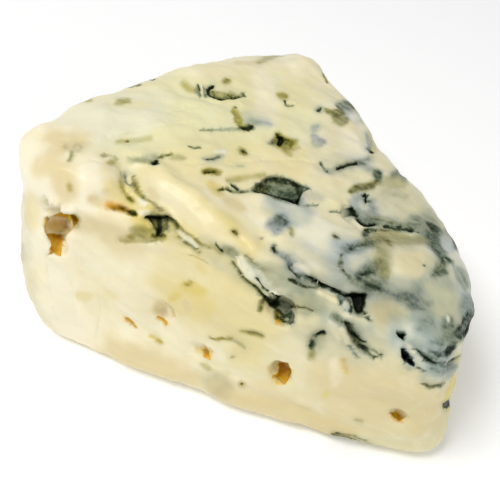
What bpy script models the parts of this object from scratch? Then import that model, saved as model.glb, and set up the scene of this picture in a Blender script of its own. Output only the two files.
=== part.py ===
"""Blue cheese wedge, one solid.

A sector of a small wheel lies on its lower cut face. Its blunt tip points to -X, its rind is
the curved wall at +X, one flat cut side faces -Y and the other runs off towards +Y. The top
falls from the tip to the rind. All edges are worn round, and the paste is broken by lumps,
ledges, creases and the hollows that the blue mould grew in.

Sizes below are in millimetres, measured in the wheel's own frame: its centre is the origin,
X runs along the front cut side and Z is up. The finished solid is moved so that the middle
of its base is at the origin.
"""
import math
import random
from collections import namedtuple

import bmesh
import bpy
import numpy as np
from mathutils import Euler, Vector, kdtree, noise

MM = 0.001
NAME = "cheese_wedge"

# The wedge before wear
OPENING = math.radians(66.5)
RIM_RADIUS_FRONT = 95.0
RIM_RADIUS_BACK = 87.0
TIP_RADIUS = 11.0
TIP_HEIGHT = 50.5
RIM_HEIGHT = 32.0
FALL_TO_BACK = 0.1
CROWN = 2.2

# Worn edges: how far each side is rounded off, low end and high end of each direction
ROUND_ALONG = (10.5, 8.0)
ROUND_UP = (4.0, 6.0)
ROUND_ACROSS_SHARE = (0.11, 0.08)
ROUND_ACROSS_LEAST = 4.0
ROUND_ACROSS_MOST_SHARE = 0.42
MEAN_HEIGHT = 45.0

# Mesh
GRID_CUTS = 59
CELL = 0.75
EASE_ROUNDS = 3
FINE_CELL = 0.6
FINE_EASE_ROUNDS = 1
FACES_KEPT = 9800
BASE_LEVEL = 0.1
FLAT_BASE = 3.0
ROUTE_STEP = 0.5

# How uneven the walls of the hollows are: size of the bulges on a unit ball, and their share
HOLLOW_BULGES = ((0.6, 0.26), (0.28, 0.14))
HOLLOW_DRAW_STEP = 3.1

# Crumbly surface: size of the swells, how far they stand out, and how flat they lie
SWELLS = ((17.0, 0.9), (7.5, 0.55), (3.6, 0.22))
SWELLS_SQUEEZE = (1.0, 1.25, 1.6)

Lump = namedtuple("Lump", "place radius height")
Groove = namedtuple("Groove", "route width depth")
Ledge = namedtuple("Ledge", "route reach height")
Hollow = namedtuple("Hollow", "place radii turn sink")

# Swellings and dents that wear has left along the tip, the rind, the back and the foot
OUTLINE = {
    "tip, top": Lump((4, 8, 47), 7, -1.7),
    "tip, brow": Lump((7, 10, 44), 4, 1.7),
    "tip, middle": Lump((6, 8, 24), 5, 0.8),
    "tip, low": Lump((7, 6, 14), 7, 2.5),
    "tip, back shoulder": Lump((8.5, 15.5, 46), 4, -2.3),
    "back edge, first dent": Lump((15.5, 30, 44.5), 4, -0.7),
    "back edge, second dent": Lump((18, 36, 44), 4, -0.3),
    "back edge, swell": Lump((24, 50, 40), 6, 0.9),
    "back edge, dip": Lump((35, 76, 33), 5, -3.7),
    "back corner": Lump((44, 74, 33), 5, 3.0),
    "back corner, rind side": Lump((50, 72, 32), 4, -0.7),
    "rind, first bite": Lump((66, 58, 29), 5, -2.6),
    "rind, second bite": Lump((73, 50, 29), 5, -1.9),
    "rind, shoulder": Lump((88, 30, 27), 6, 0.5),
    "rind, belly": Lump((92, 19, 26), 5, 1.0),
    "rind, waist": Lump((93, 10, 25), 4, -1.2),
    "rind, notch": Lump((92, 5, 26), 3, -3.7),
    "rind, under the notch": Lump((94, 3, 20), 4, -0.5),
    "rind, foot": Lump((94, 2, 10), 5, -1.1),
    "foot, swell near the tip": Lump((32, 0, 1.5), 5, 1.0),
    "foot, first swell": Lump((50, 0, 2), 7, 1.4),
    "foot, second swell": Lump((62, 0, 2), 7, 1.1),
    "foot, third swell": Lump((74, 0, 2), 6, 1.1),
    "foot, fourth swell": Lump((82, 0, 2), 4, 0.7),
    "foot, dip": Lump((87, 0, 2), 4, -1.9),
    "front corner": Lump((95, 4, 4), 5, 2.0),
}

# Broad forms inside the outline
FORMS = {
    "pale block over the front edge": Lump((24.5, 5, 45), 4.5, 1.1),
    "dip under the block": Lump((29, 0, 39), 5, -0.8),
    "front side, first belly": Lump((33, 0, 27), 9, 1.0),
    "front side, second belly": Lump((50, 0, 24), 8, 0.8),
    "front side, third belly": Lump((75, 0, 20), 9, 0.8),
    "smooth patch ringed by mould": Lump((79.5, 19, 34.5), 6, 0.9),
    "sunk middle of the top": Lump((66, 31, 37.5), 6, -0.7),
    "sunk top near the tip": Lump((40, 24, 43.5), 7, -0.5),
    "shoulder between the creases": Lump((60, 12, 39.5), 5, 0.9),
    "shoulder, far end": Lump((68, 12, 38), 5, 0.8),
}

# Steps in the paste: the left side of each route stands up and the right side lies low
LEDGES = {
    "long fold under the pale block": Ledge(
        ((30, 11.5, 45), (35.5, 9, 44), (41, 7, 43), (46, 5, 42), (50.5, 4.5, 41)), 2.6, 1.2),
    "lip over the front crease": Ledge(
        ((51, 3, 40), (54, 2, 38.5), (57, 0.5, 36.5), (61, 0.5, 35), (66, 0.5, 34.5)), 2.2, 1.0),
    "lip of the shoulder crease": Ledge(
        ((56.5, 7, 40), (60, 6, 39), (63, 4.5, 38), (68, 4.5, 37), (74, 6, 36)), 2.4, 1.1),
    "shallow step near the tip": Ledge(
        ((24.5, 16, 45.5), (28, 19.5, 45), (35, 27, 43.5), (41, 33, 42)), 2.0, 0.35),
    "shallow step behind the front edge": Ledge(
        ((28.5, 12, 45.5), (34, 17.5, 44.5), (40.5, 22, 43), (44, 26.5, 42)), 2.2, 0.5),
    "step along the dark streak": Ledge(
        ((26, 39, 44.5), (31, 39.5, 43.5), (35, 40.5, 42), (42, 51.5, 39.5)), 2.0, 0.45),
    "step up to the dark hollow": Ledge(
        ((38, 14.5, 43.5), (44, 19, 42.5), (52.5, 25, 40), (58.5, 28.5, 38.5)), 2.4, 0.5),
    "step past the star-shaped pit": Ledge(
        ((57.5, 33.5, 38.5), (60, 34, 37.5), (64.5, 40.5, 35.5), (66, 45, 34.5)), 2.0, 0.55),
    "lip of the cleft": Ledge(
        ((65, 24, 37.5), (69, 21.5, 36.5), (72.5, 24.5, 35.5), (82, 30, 33)), 2.2, 0.7),
    "step below the smooth patch": Ledge(
        ((72, 8, 36), (76, 12.5, 35.5), (84, 12.5, 33.5), (90, 14, 30)), 2.4, 0.45),
    "fold over the front corner": Ledge(
        ((83, 1.5, 32), (85.5, 1, 31), (88, 2, 31), (91.5, 7.5, 29.5)), 2.0, 1.0),
    "band along the foot": Ledge(
        ((45, -1, 9), (60, -1, 9.5), (75, -0.5, 9), (88, 0.5, 8)), 2.6, 0.4),
}

# Creases and cracks
GROOVES = {
    "crevice beside the pale block": Groove(
        ((27.5, 9.5, 45.5), (29.5, 7, 45), (31, 3.5, 44.5), (32.5, 2, 43.5), (27, 1, 43.5)), 1.5, 1.8),
    "ridge line, near half": Groove(((38, 3.5, 43), (42, 1.5, 41), (45.5, 1, 39.5)), 0.9, 0.8),
    "ridge line, far half": Groove(((44, 2.5, 41), (48, 2, 40), (51, 2.5, 40)), 0.9, 0.8),
    "front crease": Groove(((51, 2.5, 39.5), (54.5, 0.5, 37), (58, 0, 35)), 0.9, 1.2),
    "shoulder crease": Groove(
        ((60, 6, 39), (63, 4, 38), (67.5, 4, 37), (73.5, 5.5, 36)), 1.1, 1.8),
    "short crease under it": Groove(((61, 3, 38), (65.5, 4, 37)), 0.9, 1.0),
    "long crease down the front": Groove(
        ((69.5, 1, 34.5), (72, 0.5, 33), (75, 0, 31), (78.5, 0, 28.5)), 1.3, 1.5),
    "crooked crease on the front": Groove(((68.5, 0, 30.5), (67, 0, 28), (67.5, 0, 25)), 0.9, 0.9),
    "corner fold, upper": Groove(((83.5, 1.5, 31.5), (86.5, 1, 30.5), (89.5, 4, 30.5)), 1.1, 1.3),
    "corner fold, lower": Groove(((85, 0.5, 29), (88.5, 1, 29), (91.5, 3.5, 28.5)), 1.3, 1.3),
    "corner fold, lowest": Groove(((86.5, 0.5, 25), (90, 1.5, 25)), 1.1, 0.9),
    "cleft": Groove(((65.5, 24, 37), (69, 21.5, 36.5), (75.5, 26, 34.5)), 1.0, 1.2),
    "crack near the back": Groove(((63.5, 53, 33.5), (65, 47, 34.5)), 0.9, 1.2),
    "tail before the dark hollow": Groove(((43.5, 14, 42.5), (48.5, 17, 41.5)), 1.0, 0.8),
    "tail after the dark hollow": Groove(((57, 19.5, 39.5), (61, 22, 38.5)), 0.9, 0.7),
    "split along the foot": Groove(((66, 1, 3), (72, 0, 3.5), (80, 0.5, 2.5)), 1.2, 0.9),
}
LEDGE_EDGE = 0.7

# Hollows: where each opens on the skin, its half sizes, its turn in degrees, and how far its
# middle lies under the skin. X and Z lie in the front cut side and Y goes in.
FRONT_HOLLOWS = (
    Hollow((19.5, 1.0, 37.3), (3.9, 5.5, 3.2), (0, 10, 0), 1.2),
    Hollow((18.2, 1.0, 31.0), (2.2, 5.0, 3.6), (0, -8, 0), 0.8),
    Hollow((62.7, 0.0, 16.6), (1.9, 4.5, 2.9), (0, -30, 0), 0.6),
    Hollow((84.8, 0.0, 14.2), (2.0, 3.2, 1.0), (0, 28, 0), 0.4),
    Hollow((47.5, 0.0, 15.5), (2.0, 3.0, 1.2), (0, 12, 0), 0.4),
    Hollow((31.8, 0.0, 16.2), (2.6, 2.2, 0.6), (0, 10, 0), 0.3),
    Hollow((39.0, 0.0, 22.0), (3.3, 1.0, 3.3), (0, 20, 0), 0.0),
    Hollow((39.6, 0.0, 20.2), (1.1, 2.6, 1.2), (0, 0, 0), 0.3),
    Hollow((38.2, 0.0, 14.1), (1.6, 1.2, 0.7), (0, 15, 0), 0.0),
    Hollow((60.4, 0.0, 32.0), (2.6, 4.2, 2.8), (0, 12, 0), 1.0),
    Hollow((82.7, 0.5, 30.6), (1.0, 2.4, 2.2), (0, -36, 0), 0.3),
)

TOP_HOLLOWS = (
    Hollow((37.2, 2.0, 42.0), (2.4, 2.6, 1.8), (20, 0, 0), 0.6),
    Hollow((72.8, 4.0, 35.5), (1.6, 1.5, 2.4), (0, 0, 20), 0.4),
    Hollow((53.2, 21.2, 40.5), (5.6, 2.4, 2.0), (0, 10, 40), 0.0),
    Hollow((49.4, 35.0, 40.0), (1.9, 1.7, 2.0), (0, 0, 30), 0.2),
    Hollow((65.9, 23.9, 37.0), (1.4, 1.9, 2.4), (0, 0, 20), 0.2),
    Hollow((80.6, 2.5, 33.0), (0.9, 0.9, 2.0), (0, 0, 0), 0.0),
)

# The hidden cut side at the back is as open as the front one: distance along it, height,
# half sizes, and how far the middle lies in
BACK_HOLLOWS = (
    (24.0, 30.0, (3.4, 3.8, 2.6), 0.8),
    (33.0, 14.0, (2.2, 3.0, 1.2), 0.4),
    (44.0, 25.0, (2.6, 3.2, 3.1), 0.6),
    (51.0, 12.0, (2.3, 2.8, 0.9), 0.3),
    (58.0, 24.0, (1.5, 2.4, 1.2), 0.2),
    (69.0, 15.0, (3.0, 3.4, 1.8), 0.8),
    (76.0, 22.0, (1.1, 2.4, 1.9), 0.3),
)

# Its creases fall away from the tip as on the front: how many, where they start, how long they
# are, how far each falls and strays, and their widths and depths
BACK_CREASES = 7
BACK_CREASE_STARTS = (18.0, 60.0)
BACK_CREASE_LEVELS = (9.0, 36.0)
BACK_CREASE_LENGTHS = (10.0, 24.0)
BACK_CREASE_FALL = 5.0
BACK_CREASE_STRAY = 1.5
BACK_CREASE_WIDTHS = (0.9, 1.4)
BACK_CREASE_DEPTHS = (0.7, 1.4)
BACK_CREASE_SEED = 11


def clear_scene():
    for thing in list(bpy.data.objects):
        bpy.data.objects.remove(thing, do_unlink=True)


def new_collection(name):
    collection = bpy.data.collections.new(name)
    bpy.context.scene.collection.children.link(collection)
    return collection


def move_to(thing, collection):
    for old in list(thing.users_collection):
        old.objects.unlink(thing)
    collection.objects.link(thing)


def read_points(mesh):
    flat = np.empty(len(mesh.vertices) * 3)
    mesh.vertices.foreach_get("co", flat)
    return flat.reshape(-1, 3)


def read_normals(mesh):
    flat = np.empty(len(mesh.vertices) * 3)
    mesh.vertex_normals.foreach_get("vector", flat)
    return flat.reshape(-1, 3)


def write_points(mesh, points):
    mesh.vertices.foreach_set("co", np.ascontiguousarray(points, dtype=np.float32).ravel())
    mesh.update()


def apply(thing, modifier):
    with bpy.context.temp_override(object=thing, active_object=thing):
        bpy.ops.object.modifier_apply(modifier=modifier.name)


def smooth_step(low, high, value):
    share = np.clip((value - low) / (high - low), 0.0, 1.0)
    return share * share * (3.0 - 2.0 * share)


def gridded_cube():
    """A unit cube from 0 to 1 whose faces are cut into an even grid."""
    bpy.ops.mesh.primitive_cube_add(size=1.0, location=(0.0, 0.0, 0.0))
    wedge = bpy.context.object
    wedge.name = NAME
    wedge.data.name = NAME
    grid = bmesh.new()
    grid.from_mesh(wedge.data)
    bmesh.ops.translate(grid, verts=grid.verts, vec=(0.5, 0.5, 0.5))
    bmesh.ops.subdivide_edges(grid, edges=list(grid.edges), cuts=GRID_CUTS, use_grid_fill=True)
    bmesh.ops.recalc_face_normals(grid, faces=grid.faces)
    grid.to_mesh(wedge.data)
    grid.free()
    return wedge


def rim_radius(across):
    return RIM_RADIUS_FRONT + (RIM_RADIUS_BACK - RIM_RADIUS_FRONT) * across


def round_off(shares):
    """Pull the cube's edges and corners in by the radius of each side, as shares of its length."""
    along, across, _ = shares.T
    arc = OPENING * (TIP_RADIUS + along * (rim_radius(across) - TIP_RADIUS))
    full = np.ones_like(arc)
    lengths = np.stack([full * (RIM_RADIUS_FRONT - TIP_RADIUS), arc, full * MEAN_HEIGHT], axis=1)
    across_low, across_high = [
        np.minimum(np.maximum(share * arc, ROUND_ACROSS_LEAST), ROUND_ACROSS_MOST_SHARE * arc)
        for share in ROUND_ACROSS_SHARE
    ]
    low = np.stack([full * ROUND_ALONG[0], across_low, full * ROUND_UP[0]], axis=1)
    high = np.stack([full * ROUND_ALONG[1], across_high, full * ROUND_UP[1]], axis=1)
    places = shares * lengths
    cores = np.clip(places, low, lengths - high)
    past = places - cores
    radii = np.where(past < 0.0, low, high)
    relative = past / radii
    reach = np.linalg.norm(relative, axis=1, keepdims=True)
    reach[reach < 1e-9] = 1.0
    return (cores + radii * relative / reach) / lengths


def wedge_points(shares):
    """Bend the rounded block round the wheel's centre and give it its sloping top."""
    along, across, up = round_off(shares).T
    radius = TIP_RADIUS + along * (rim_radius(across) - TIP_RADIUS)
    angle = across * OPENING
    x = radius * np.cos(angle)
    y = radius * np.sin(angle)
    height = TIP_HEIGHT + (RIM_HEIGHT - TIP_HEIGHT) * x / RIM_RADIUS_FRONT - FALL_TO_BACK * y
    height += CROWN * 4.0 * along * (1.0 - along) * np.sin(math.pi * across)
    return np.stack([x, y, up * height], axis=1)


def even_cells(wedge, cell, rounds):
    """Rebuild the skin in even cells, which mends what bending or cutting has crowded or folded."""
    cells = wedge.modifiers.new("cells", "REMESH")
    cells.mode = "VOXEL"
    cells.voxel_size = cell
    apply(wedge, cells)
    ease = wedge.modifiers.new("ease", "SMOOTH")
    ease.factor = 0.5
    ease.iterations = rounds
    apply(wedge, ease)
    press_base(wedge)


def press_base(wedge):
    """Keep the underside one flat face."""
    points = read_points(wedge.data)
    points[:, 2] = np.where(points[:, 2] < BASE_LEVEL, 0.0, points[:, 2])
    write_points(wedge.data, points)


def push_out(wedge, heights):
    """Move the skin along its normals, and leave the underside where it is."""
    points = read_points(wedge.data)
    off_base = smooth_step(0.0, FLAT_BASE, points[:, 2])
    points += read_normals(wedge.data) * (heights * off_base)[:, None]
    write_points(wedge.data, points)
    press_base(wedge)


def swell(point, size):
    return noise.noise(Vector(point) / size)


def swells(points):
    """Uneven crumbly surface, with the finer swells stretched along the cut."""
    out = np.zeros(len(points))
    for size, height in SWELLS:
        out += height * np.array([swell(p * SWELLS_SQUEEZE, size) for p in points])
    return out


def lumps(points):
    out = np.zeros(len(points))
    for lump in list(OUTLINE.values()) + list(FORMS.values()):
        gap = np.linalg.norm(points - np.array(lump.place), axis=1)
        out += lump.height * np.exp(-0.5 * (gap / lump.radius) ** 2)
    return out


class Surface:
    """The worn wedge as a cloud of points, for laying routes on it."""

    def __init__(self, points, normals):
        self.points = points
        self.normals = normals
        self.tree = kdtree.KDTree(len(points))
        for index, point in enumerate(points):
            self.tree.insert(point, index)
        self.tree.balance()

    def lay(self, route):
        """Points every ROUTE_STEP along a route, dropped onto the surface."""
        stops = [Vector(stop) for stop in route]
        laid = []
        for start, end in zip(stops, stops[1:]):
            count = max(2, int((end - start).length / ROUTE_STEP))
            laid += [start.lerp(end, k / count) for k in range(count)]
        laid.append(stops[-1])
        return [self.tree.find(point)[0].copy() for point in laid]

    def under(self, place, sink):
        """The point that lies a given depth under the skin at a place."""
        point, index, _ = self.tree.find(Vector(place))
        return point - Vector(self.normals[index]) * sink

    def nearest_on(self, route):
        """For each surface point: gap to the route and which side of it the point lies on."""
        laid = self.lay(route)
        stations = np.array(laid)
        onward = np.gradient(stations, axis=0)
        onward /= np.linalg.norm(onward, axis=1, keepdims=True) + 1e-9
        gaps = np.full(len(self.points), 1e3)
        closest = np.zeros(len(self.points), dtype=int)
        for index, station in enumerate(stations):
            gap = np.linalg.norm(self.points - station, axis=1)
            nearer = gap < gaps
            gaps[nearer] = gap[nearer]
            closest[nearer] = index
        offset = self.points - stations[closest]
        left = np.cross(self.normals, onward[closest])
        side = np.einsum("ij,ij->i", offset, left)
        return gaps, side

    def groove(self, groove):
        gaps, _ = self.nearest_on(groove.route)
        return -groove.depth * np.exp(-((gaps / groove.width) ** 2))

    def ledge(self, ledge):
        gaps, side = self.nearest_on(ledge.route)
        lean = np.tanh(side / LEDGE_EDGE)
        return ledge.height * lean * np.exp(-((gaps / ledge.reach) ** 2))


def on_back_side(along, height):
    """A place on the hidden cut side, by distance from the wheel's centre and height."""
    return (along * math.cos(OPENING), along * math.sin(OPENING), height)


def back_creases():
    """Long broken creases on the hidden cut side."""
    draw = random.Random(BACK_CREASE_SEED)
    lowest, highest = BACK_CREASE_LEVELS
    creases = []
    for index in range(BACK_CREASES):
        start = draw.uniform(*BACK_CREASE_STARTS)
        level = lowest + (highest - lowest) * (index + draw.random()) / BACK_CREASES
        length = draw.uniform(*BACK_CREASE_LENGTHS)
        route = []
        for share in (0.0, 0.35, 0.7, 1.0):
            stray = draw.uniform(-BACK_CREASE_STRAY, BACK_CREASE_STRAY)
            height = level - BACK_CREASE_FALL * share + stray
            route.append(on_back_side(start + length * share, height))
        width = draw.uniform(*BACK_CREASE_WIDTHS)
        creases.append(Groove(route, width, draw.uniform(*BACK_CREASE_DEPTHS)))
    return creases


def relief(wedge):
    points = read_points(wedge.data)
    surface = Surface(points, read_normals(wedge.data))
    heights = swells(points)
    for ledge in LEDGES.values():
        heights += surface.ledge(ledge)
    for groove in list(GROOVES.values()) + back_creases():
        heights += surface.groove(groove)
    return heights


def worn_wedge():
    wedge = gridded_cube()
    write_points(wedge.data, wedge_points(read_points(wedge.data)))
    even_cells(wedge, CELL, EASE_ROUNDS)
    push_out(wedge, lumps(read_points(wedge.data)))
    even_cells(wedge, CELL, EASE_ROUNDS)
    push_out(wedge, relief(wedge))
    return wedge


def hollow_cutter(name, hollow, middle, seed, collection):
    """A lumpy ball that bites one hollow out of the paste."""
    bpy.ops.mesh.primitive_ico_sphere_add(subdivisions=3, radius=1.0, location=(0.0, 0.0, 0.0))
    cutter = bpy.context.object
    cutter.name = name
    turn = Euler([math.radians(angle) for angle in hollow.turn]).to_matrix()
    draw = Vector((seed * HOLLOW_DRAW_STEP, 0.0, 0.0))
    for vertex in cutter.data.vertices:
        ball = vertex.co.normalized()
        bulge = 1.0 + sum(share * noise.noise(ball / size + draw) for size, share in HOLLOW_BULGES)
        local = Vector([part * half * bulge for part, half in zip(ball, hollow.radii)])
        vertex.co = turn @ local + middle
    cutter.display_type = "WIRE"
    cutter.hide_render = True
    move_to(cutter, collection)


def all_hollows():
    back_turn = (0, 0, math.degrees(OPENING))
    hollows = list(FRONT_HOLLOWS) + list(TOP_HOLLOWS)
    for along, height, radii, sink in BACK_HOLLOWS:
        hollows.append(Hollow(on_back_side(along, height), radii, back_turn, sink))
    return hollows


def paste_material():
    material = bpy.data.materials.new("ripe_paste")
    material.use_nodes = True
    shader = material.node_tree.nodes["Principled BSDF"]
    shader.inputs["Base Color"].default_value = (0.86, 0.78, 0.53, 1.0)
    shader.inputs["Roughness"].default_value = 0.42
    shader.inputs["Metallic"].default_value = 0.0
    return material


def bite_out(wedge, cutters):
    """Cut every hollow, then keep the triangles that the shape needs."""
    bite = wedge.modifiers.new("bite", "BOOLEAN")
    bite.operand_type = "COLLECTION"
    bite.collection = cutters
    bite.operation = "DIFFERENCE"
    bite.solver = "EXACT"
    apply(wedge, bite)
    even_cells(wedge, FINE_CELL, FINE_EASE_ROUNDS)
    thin = wedge.modifiers.new("thin", "DECIMATE")
    triangles = sum(len(face.vertices) - 2 for face in wedge.data.polygons)
    thin.ratio = FACES_KEPT / triangles
    thin.use_collapse_triangulate = True
    apply(wedge, thin)
    press_base(wedge)
    for cutter in list(cutters.objects):
        bpy.data.objects.remove(cutter, do_unlink=True)


def stand_on_origin(wedge):
    """Put the middle of the base at the origin, and go from millimetres to metres."""
    points = read_points(wedge.data)
    middle = (points.min(axis=0) + points.max(axis=0)) / 2.0
    middle[2] = 0.0
    write_points(wedge.data, (points - middle) * MM)


def build():
    clear_scene()
    parts = new_collection("blue_cheese_wedge")
    cutters = new_collection("cutters")
    wedge = worn_wedge()
    move_to(wedge, parts)
    skin = Surface(read_points(wedge.data), read_normals(wedge.data))
    for index, hollow in enumerate(all_hollows()):
        middle = skin.under(hollow.place, hollow.sink)
        hollow_cutter(f"hollow_{index}", hollow, middle, index, cutters)
    bite_out(wedge, cutters)
    stand_on_origin(wedge)
    wedge.data.materials.append(paste_material())
    wedge.data.shade_smooth()


build()
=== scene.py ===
"""Looks of the blue cheese wedge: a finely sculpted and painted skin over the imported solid.

Marks are placed by picture points: x to the right and y down in a frame 500 wide and 500 high,
seen from the main camera or straight at a hidden side. Each is thrown through its view onto the
wedge, so it lies on the paste from every side. Widths of marks are in the same points, about
0.2 mm each. Depths of dips and heights of lips are in millimetres.
"""
import math
import random
from collections import namedtuple
from itertools import product

import bmesh
import bpy
import numpy as np
from mathutils import Matrix, Quaternion, Vector
from mathutils.bvhtree import BVHTree


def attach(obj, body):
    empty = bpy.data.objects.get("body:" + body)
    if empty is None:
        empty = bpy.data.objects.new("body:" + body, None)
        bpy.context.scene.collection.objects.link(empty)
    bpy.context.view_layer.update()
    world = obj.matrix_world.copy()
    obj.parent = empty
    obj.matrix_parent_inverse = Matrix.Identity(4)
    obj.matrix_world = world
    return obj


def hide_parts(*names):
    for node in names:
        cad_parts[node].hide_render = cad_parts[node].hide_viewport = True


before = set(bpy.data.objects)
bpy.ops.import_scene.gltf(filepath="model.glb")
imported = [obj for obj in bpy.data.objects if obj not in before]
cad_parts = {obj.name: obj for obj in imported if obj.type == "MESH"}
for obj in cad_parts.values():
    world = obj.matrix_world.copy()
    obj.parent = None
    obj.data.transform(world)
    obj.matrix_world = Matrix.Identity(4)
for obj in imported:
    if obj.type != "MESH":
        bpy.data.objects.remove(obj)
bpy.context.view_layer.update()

MM = 0.001
FAR = 1e9
NODE = "cheese_wedge"
PICTURE = 500

# The camera: where it looks, from where, and its focal length in picture points
TARGET = (-1.898 * MM, -14.910 * MM, 20.0 * MM)
AZIMUTH = math.radians(13.089)
ELEVATION = math.radians(44.757)
ROLL = math.radians(7.769)
DISTANCE = 161.357 * MM
FOCAL = 800.0
SENSOR = 36.0

# Straight looks at the hidden sides: their middle, how far off they are, and their focal length
SIDE_TARGET = (0.0, 0.0, 22.0 * MM)
SIDE_DISTANCE = 1.0
SIDE_FOCAL = 5000.0

# Soft lights: place and size in metres, and power in watts
KEY_LIGHT = ((-0.22, -0.24, 0.62), 0.28, 2.8)
FILL_LIGHT = ((0.58, -0.22, 0.26), 0.5, 0.9)
LIT_SPOT = (0.0, 0.0, 0.02)
SKY_STRENGTH = 0.42
FLOOR_SIZE = 4.0
FLOOR_DROP = 0.1 * MM
FLOOR_GLOW = 0.08

# Mesh of the skin: cells of the smooth copy that it hugs, and its own before it is made finer
WELD = 0.01 * MM
REFERENCE_CELL = 0.4 * MM
REFERENCE_EASE = 10
SKIN_CELL = 1.34 * MM
SKIN_EASE = 3
# How far past a mark the mesh is made finer, in picture points: clear-edged marks, then crisp ones
CLEAR_MARGIN = 2.6
CRISP_MARGIN = 2.2

# How far behind the first paste that its view meets a mark still lies: an open one, then a closed
# one. Every mark also lies on paste whose depth is this near to its own
SEEN_SLACK = 1.0 * MM
HOLLOW_SLACK = 4.0 * MM
DEPTH_SLACK = 2.0 * MM
# Marks of the hidden sides fade in where paste lies this far behind what the camera sees
UNSEEN_FROM = 0.5 * MM
UNSEEN_FULLY = 3.0 * MM

# Picture points between stations along a mark, and between the grain map's cells
STATION = 1.2
FLOW_CELL = 6.0

# Relief in millimetres: waves along the grain, then long and fine streaks on clean paste, and what
# mould adds to them
WAVES = 0.14
LONG_STREAKS = 0.035
LONG_ON_MOULD = 0.08
FINE_STREAKS = 0.015
FINE_ON_MOULD = 0.04

# Colours as levels from 0 to 255 on screen
IVORY = (243, 233, 197)
# Greyed ivory toward the rind: partly mould haze, partly painted shade where less light reaches that side
GREYED_AND_SHADED_IVORY = (216, 209, 167)
CLOUD = (232, 222, 168)
DULL_PATCH = (226, 212, 164)
LIGHT_PATCH = (255, 248, 228)
LIGHT_STREAK = (252, 242, 212)
DULL_STREAK = (206, 198, 150)
LIME = (232, 228, 176)
CREAM = (246, 238, 211)
MILK = (232, 233, 216)
TAN = (218, 198, 144)
YELLOW = (220, 200, 112)
DEEP_GOLD = (204, 148, 20)
PALE_GOLD = (224, 178, 50)
WHITE = (255, 255, 255)
FLOOR_SHADE = (250, 250, 250)

# What mould takes out of the paste's colour as it grows thicker
THICKNESS = (0.0, 0.25, 0.5, 0.75, 1.0)
GREEN_MOULD = (WHITE, (186, 202, 218), (130, 150, 152), (70, 88, 80), (6, 10, 5))
OLIVE_MOULD = (WHITE, (208, 200, 136), (148, 142, 52), (76, 78, 12), (12, 12, 2))
BLUE_MOULD = (WHITE, (196, 208, 238), (130, 146, 172), (66, 82, 98), (5, 9, 9))


def smooth_step(low, high, value):
    share = np.clip((value - low) / (high - low), 0.0, 1.0)
    return share * share * (3.0 - 2.0 * share)


class View:
    """A camera, or a far look straight at one side, that turns places into picture points."""

    def __init__(self, target, azimuth, elevation, roll, distance, focal):
        level = math.cos(elevation)
        back = Vector((math.sin(azimuth) * level, -math.cos(azimuth) * level, math.sin(elevation)))
        self.place = Vector(target) + back * distance
        self.turn = (-back).to_track_quat("-Z", "Y") @ Quaternion((0, 0, 1), roll)
        self.axes = np.array(self.turn.to_matrix())
        self.focal = focal

    def flatten(self, points):
        """Picture points and depths of places."""
        local = (points - np.array(self.place)) @ self.axes
        depth = -local[:, 2]
        x = PICTURE / 2 + self.focal * local[:, 0] / depth
        y = PICTURE / 2 - self.focal * local[:, 1] / depth
        return np.stack([x, y], axis=1), depth

    def direction(self, point):
        """The way from the view to a picture point."""
        across = (point[0] - PICTURE / 2) / self.focal
        down = (point[1] - PICTURE / 2) / self.focal
        return (self.turn @ Vector((across, -down, -1.0))).normalized()


def side_view(azimuth, elevation):
    """A look straight at a hidden side: a picture point is 0.2 mm there."""
    return View(SIDE_TARGET, math.radians(azimuth), math.radians(elevation), 0.0, SIDE_DISTANCE, SIDE_FOCAL)


CAMERA_VIEW = View(TARGET, AZIMUTH, ELEVATION, ROLL, DISTANCE, FOCAL)
BACK_VIEW = side_view(246.0, 5.0)
RIND_VIEW = side_view(123.0, 8.0)
BASE_VIEW = side_view(0.0, -90.0)

# ---------------------------------------------------------------------------------------------
# Marks
# ---------------------------------------------------------------------------------------------
# coat names what is laid: mould, or a tint of the paste. strength is its thickness inside width,
# fade how far its edge runs out, halo and reach how strong and how wide the haze around it is,
# olive and blue the mould's hue, and clear how much mould below is wiped off. The edge is soft
# toward one side and crisp on the other; lip is how high the paste stands on the crisp side.
# grain is how much a mark is broken up into specks.
Mark = namedtuple("Mark", "route closed width coat strength fade halo reach olive blue clear dip lip "
                          "toward grain")
PLAIN = Mark((), False, 1.0, "mould", 1.0, 0.9, 0.0, 5.0, 0.0, 0.15, 0.0, 0.0, 0.0, None, 0.0)
COATS = ("mould", "cream", "yellow", "tan", "amber", "lime", "milk")
SLIM = 0.7
LINE_SLIM = 0.6
HAZE_THIN = 0.75


def mould(width, route, strength, fade, halo, reach, olive, dip, grain, more):
    laid = PLAIN._replace(width=width * SLIM, route=route, strength=strength, fade=fade, halo=halo,
                          reach=reach, olive=olive, dip=dip, grain=grain)
    if olive > 0.5:
        laid = laid._replace(blue=0.0)
    return laid._replace(**more)


def black(width, *route, **more):
    return mould(width, route, 1.0, 1.2, 0.14, 3.0, 0.1, 0.35, 0.0, more)


def line(width, *route, **more):
    return mould(width * LINE_SLIM, route, 0.75, 1.3, 0.06, 2.5, 0.3, 0.15, 0.55, more)


def green(width, *route, **more):
    return mould(width, route, 0.5, 3.6, 0.12, 4.0, 0.2, 0.1, 0.4, more)


def olive(width, *route, **more):
    return mould(width, route, 0.48, 3.4, 0.08, 3.0, 1.0, 0.08, 0.2, more)


def grey(width, *route, **more):
    return mould(width, route, 0.24, 4.5, 0.05, 5.0, 0.1, 0.0, 0.2, more)


def haze(width, *route, **more):
    """Mould under the paste's skin: broad, soft and faint. A few hazes are painted shade instead, as their
    marks say.
    """
    laid = PLAIN._replace(width=width, route=route, strength=0.2, fade=width * 1.3 + 2.0, blue=0.4)
    laid = laid._replace(**more)
    return laid._replace(strength=laid.strength * HAZE_THIN)


def tint(coat, width, *route, **more):
    """Paste of another tone. Some tints are painted shade, and some painted light, as their marks say."""
    return PLAIN._replace(width=width * SLIM, route=route, coat=coat, strength=0.6,
                          fade=width * 1.1 + 3.0)._replace(**more)


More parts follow.
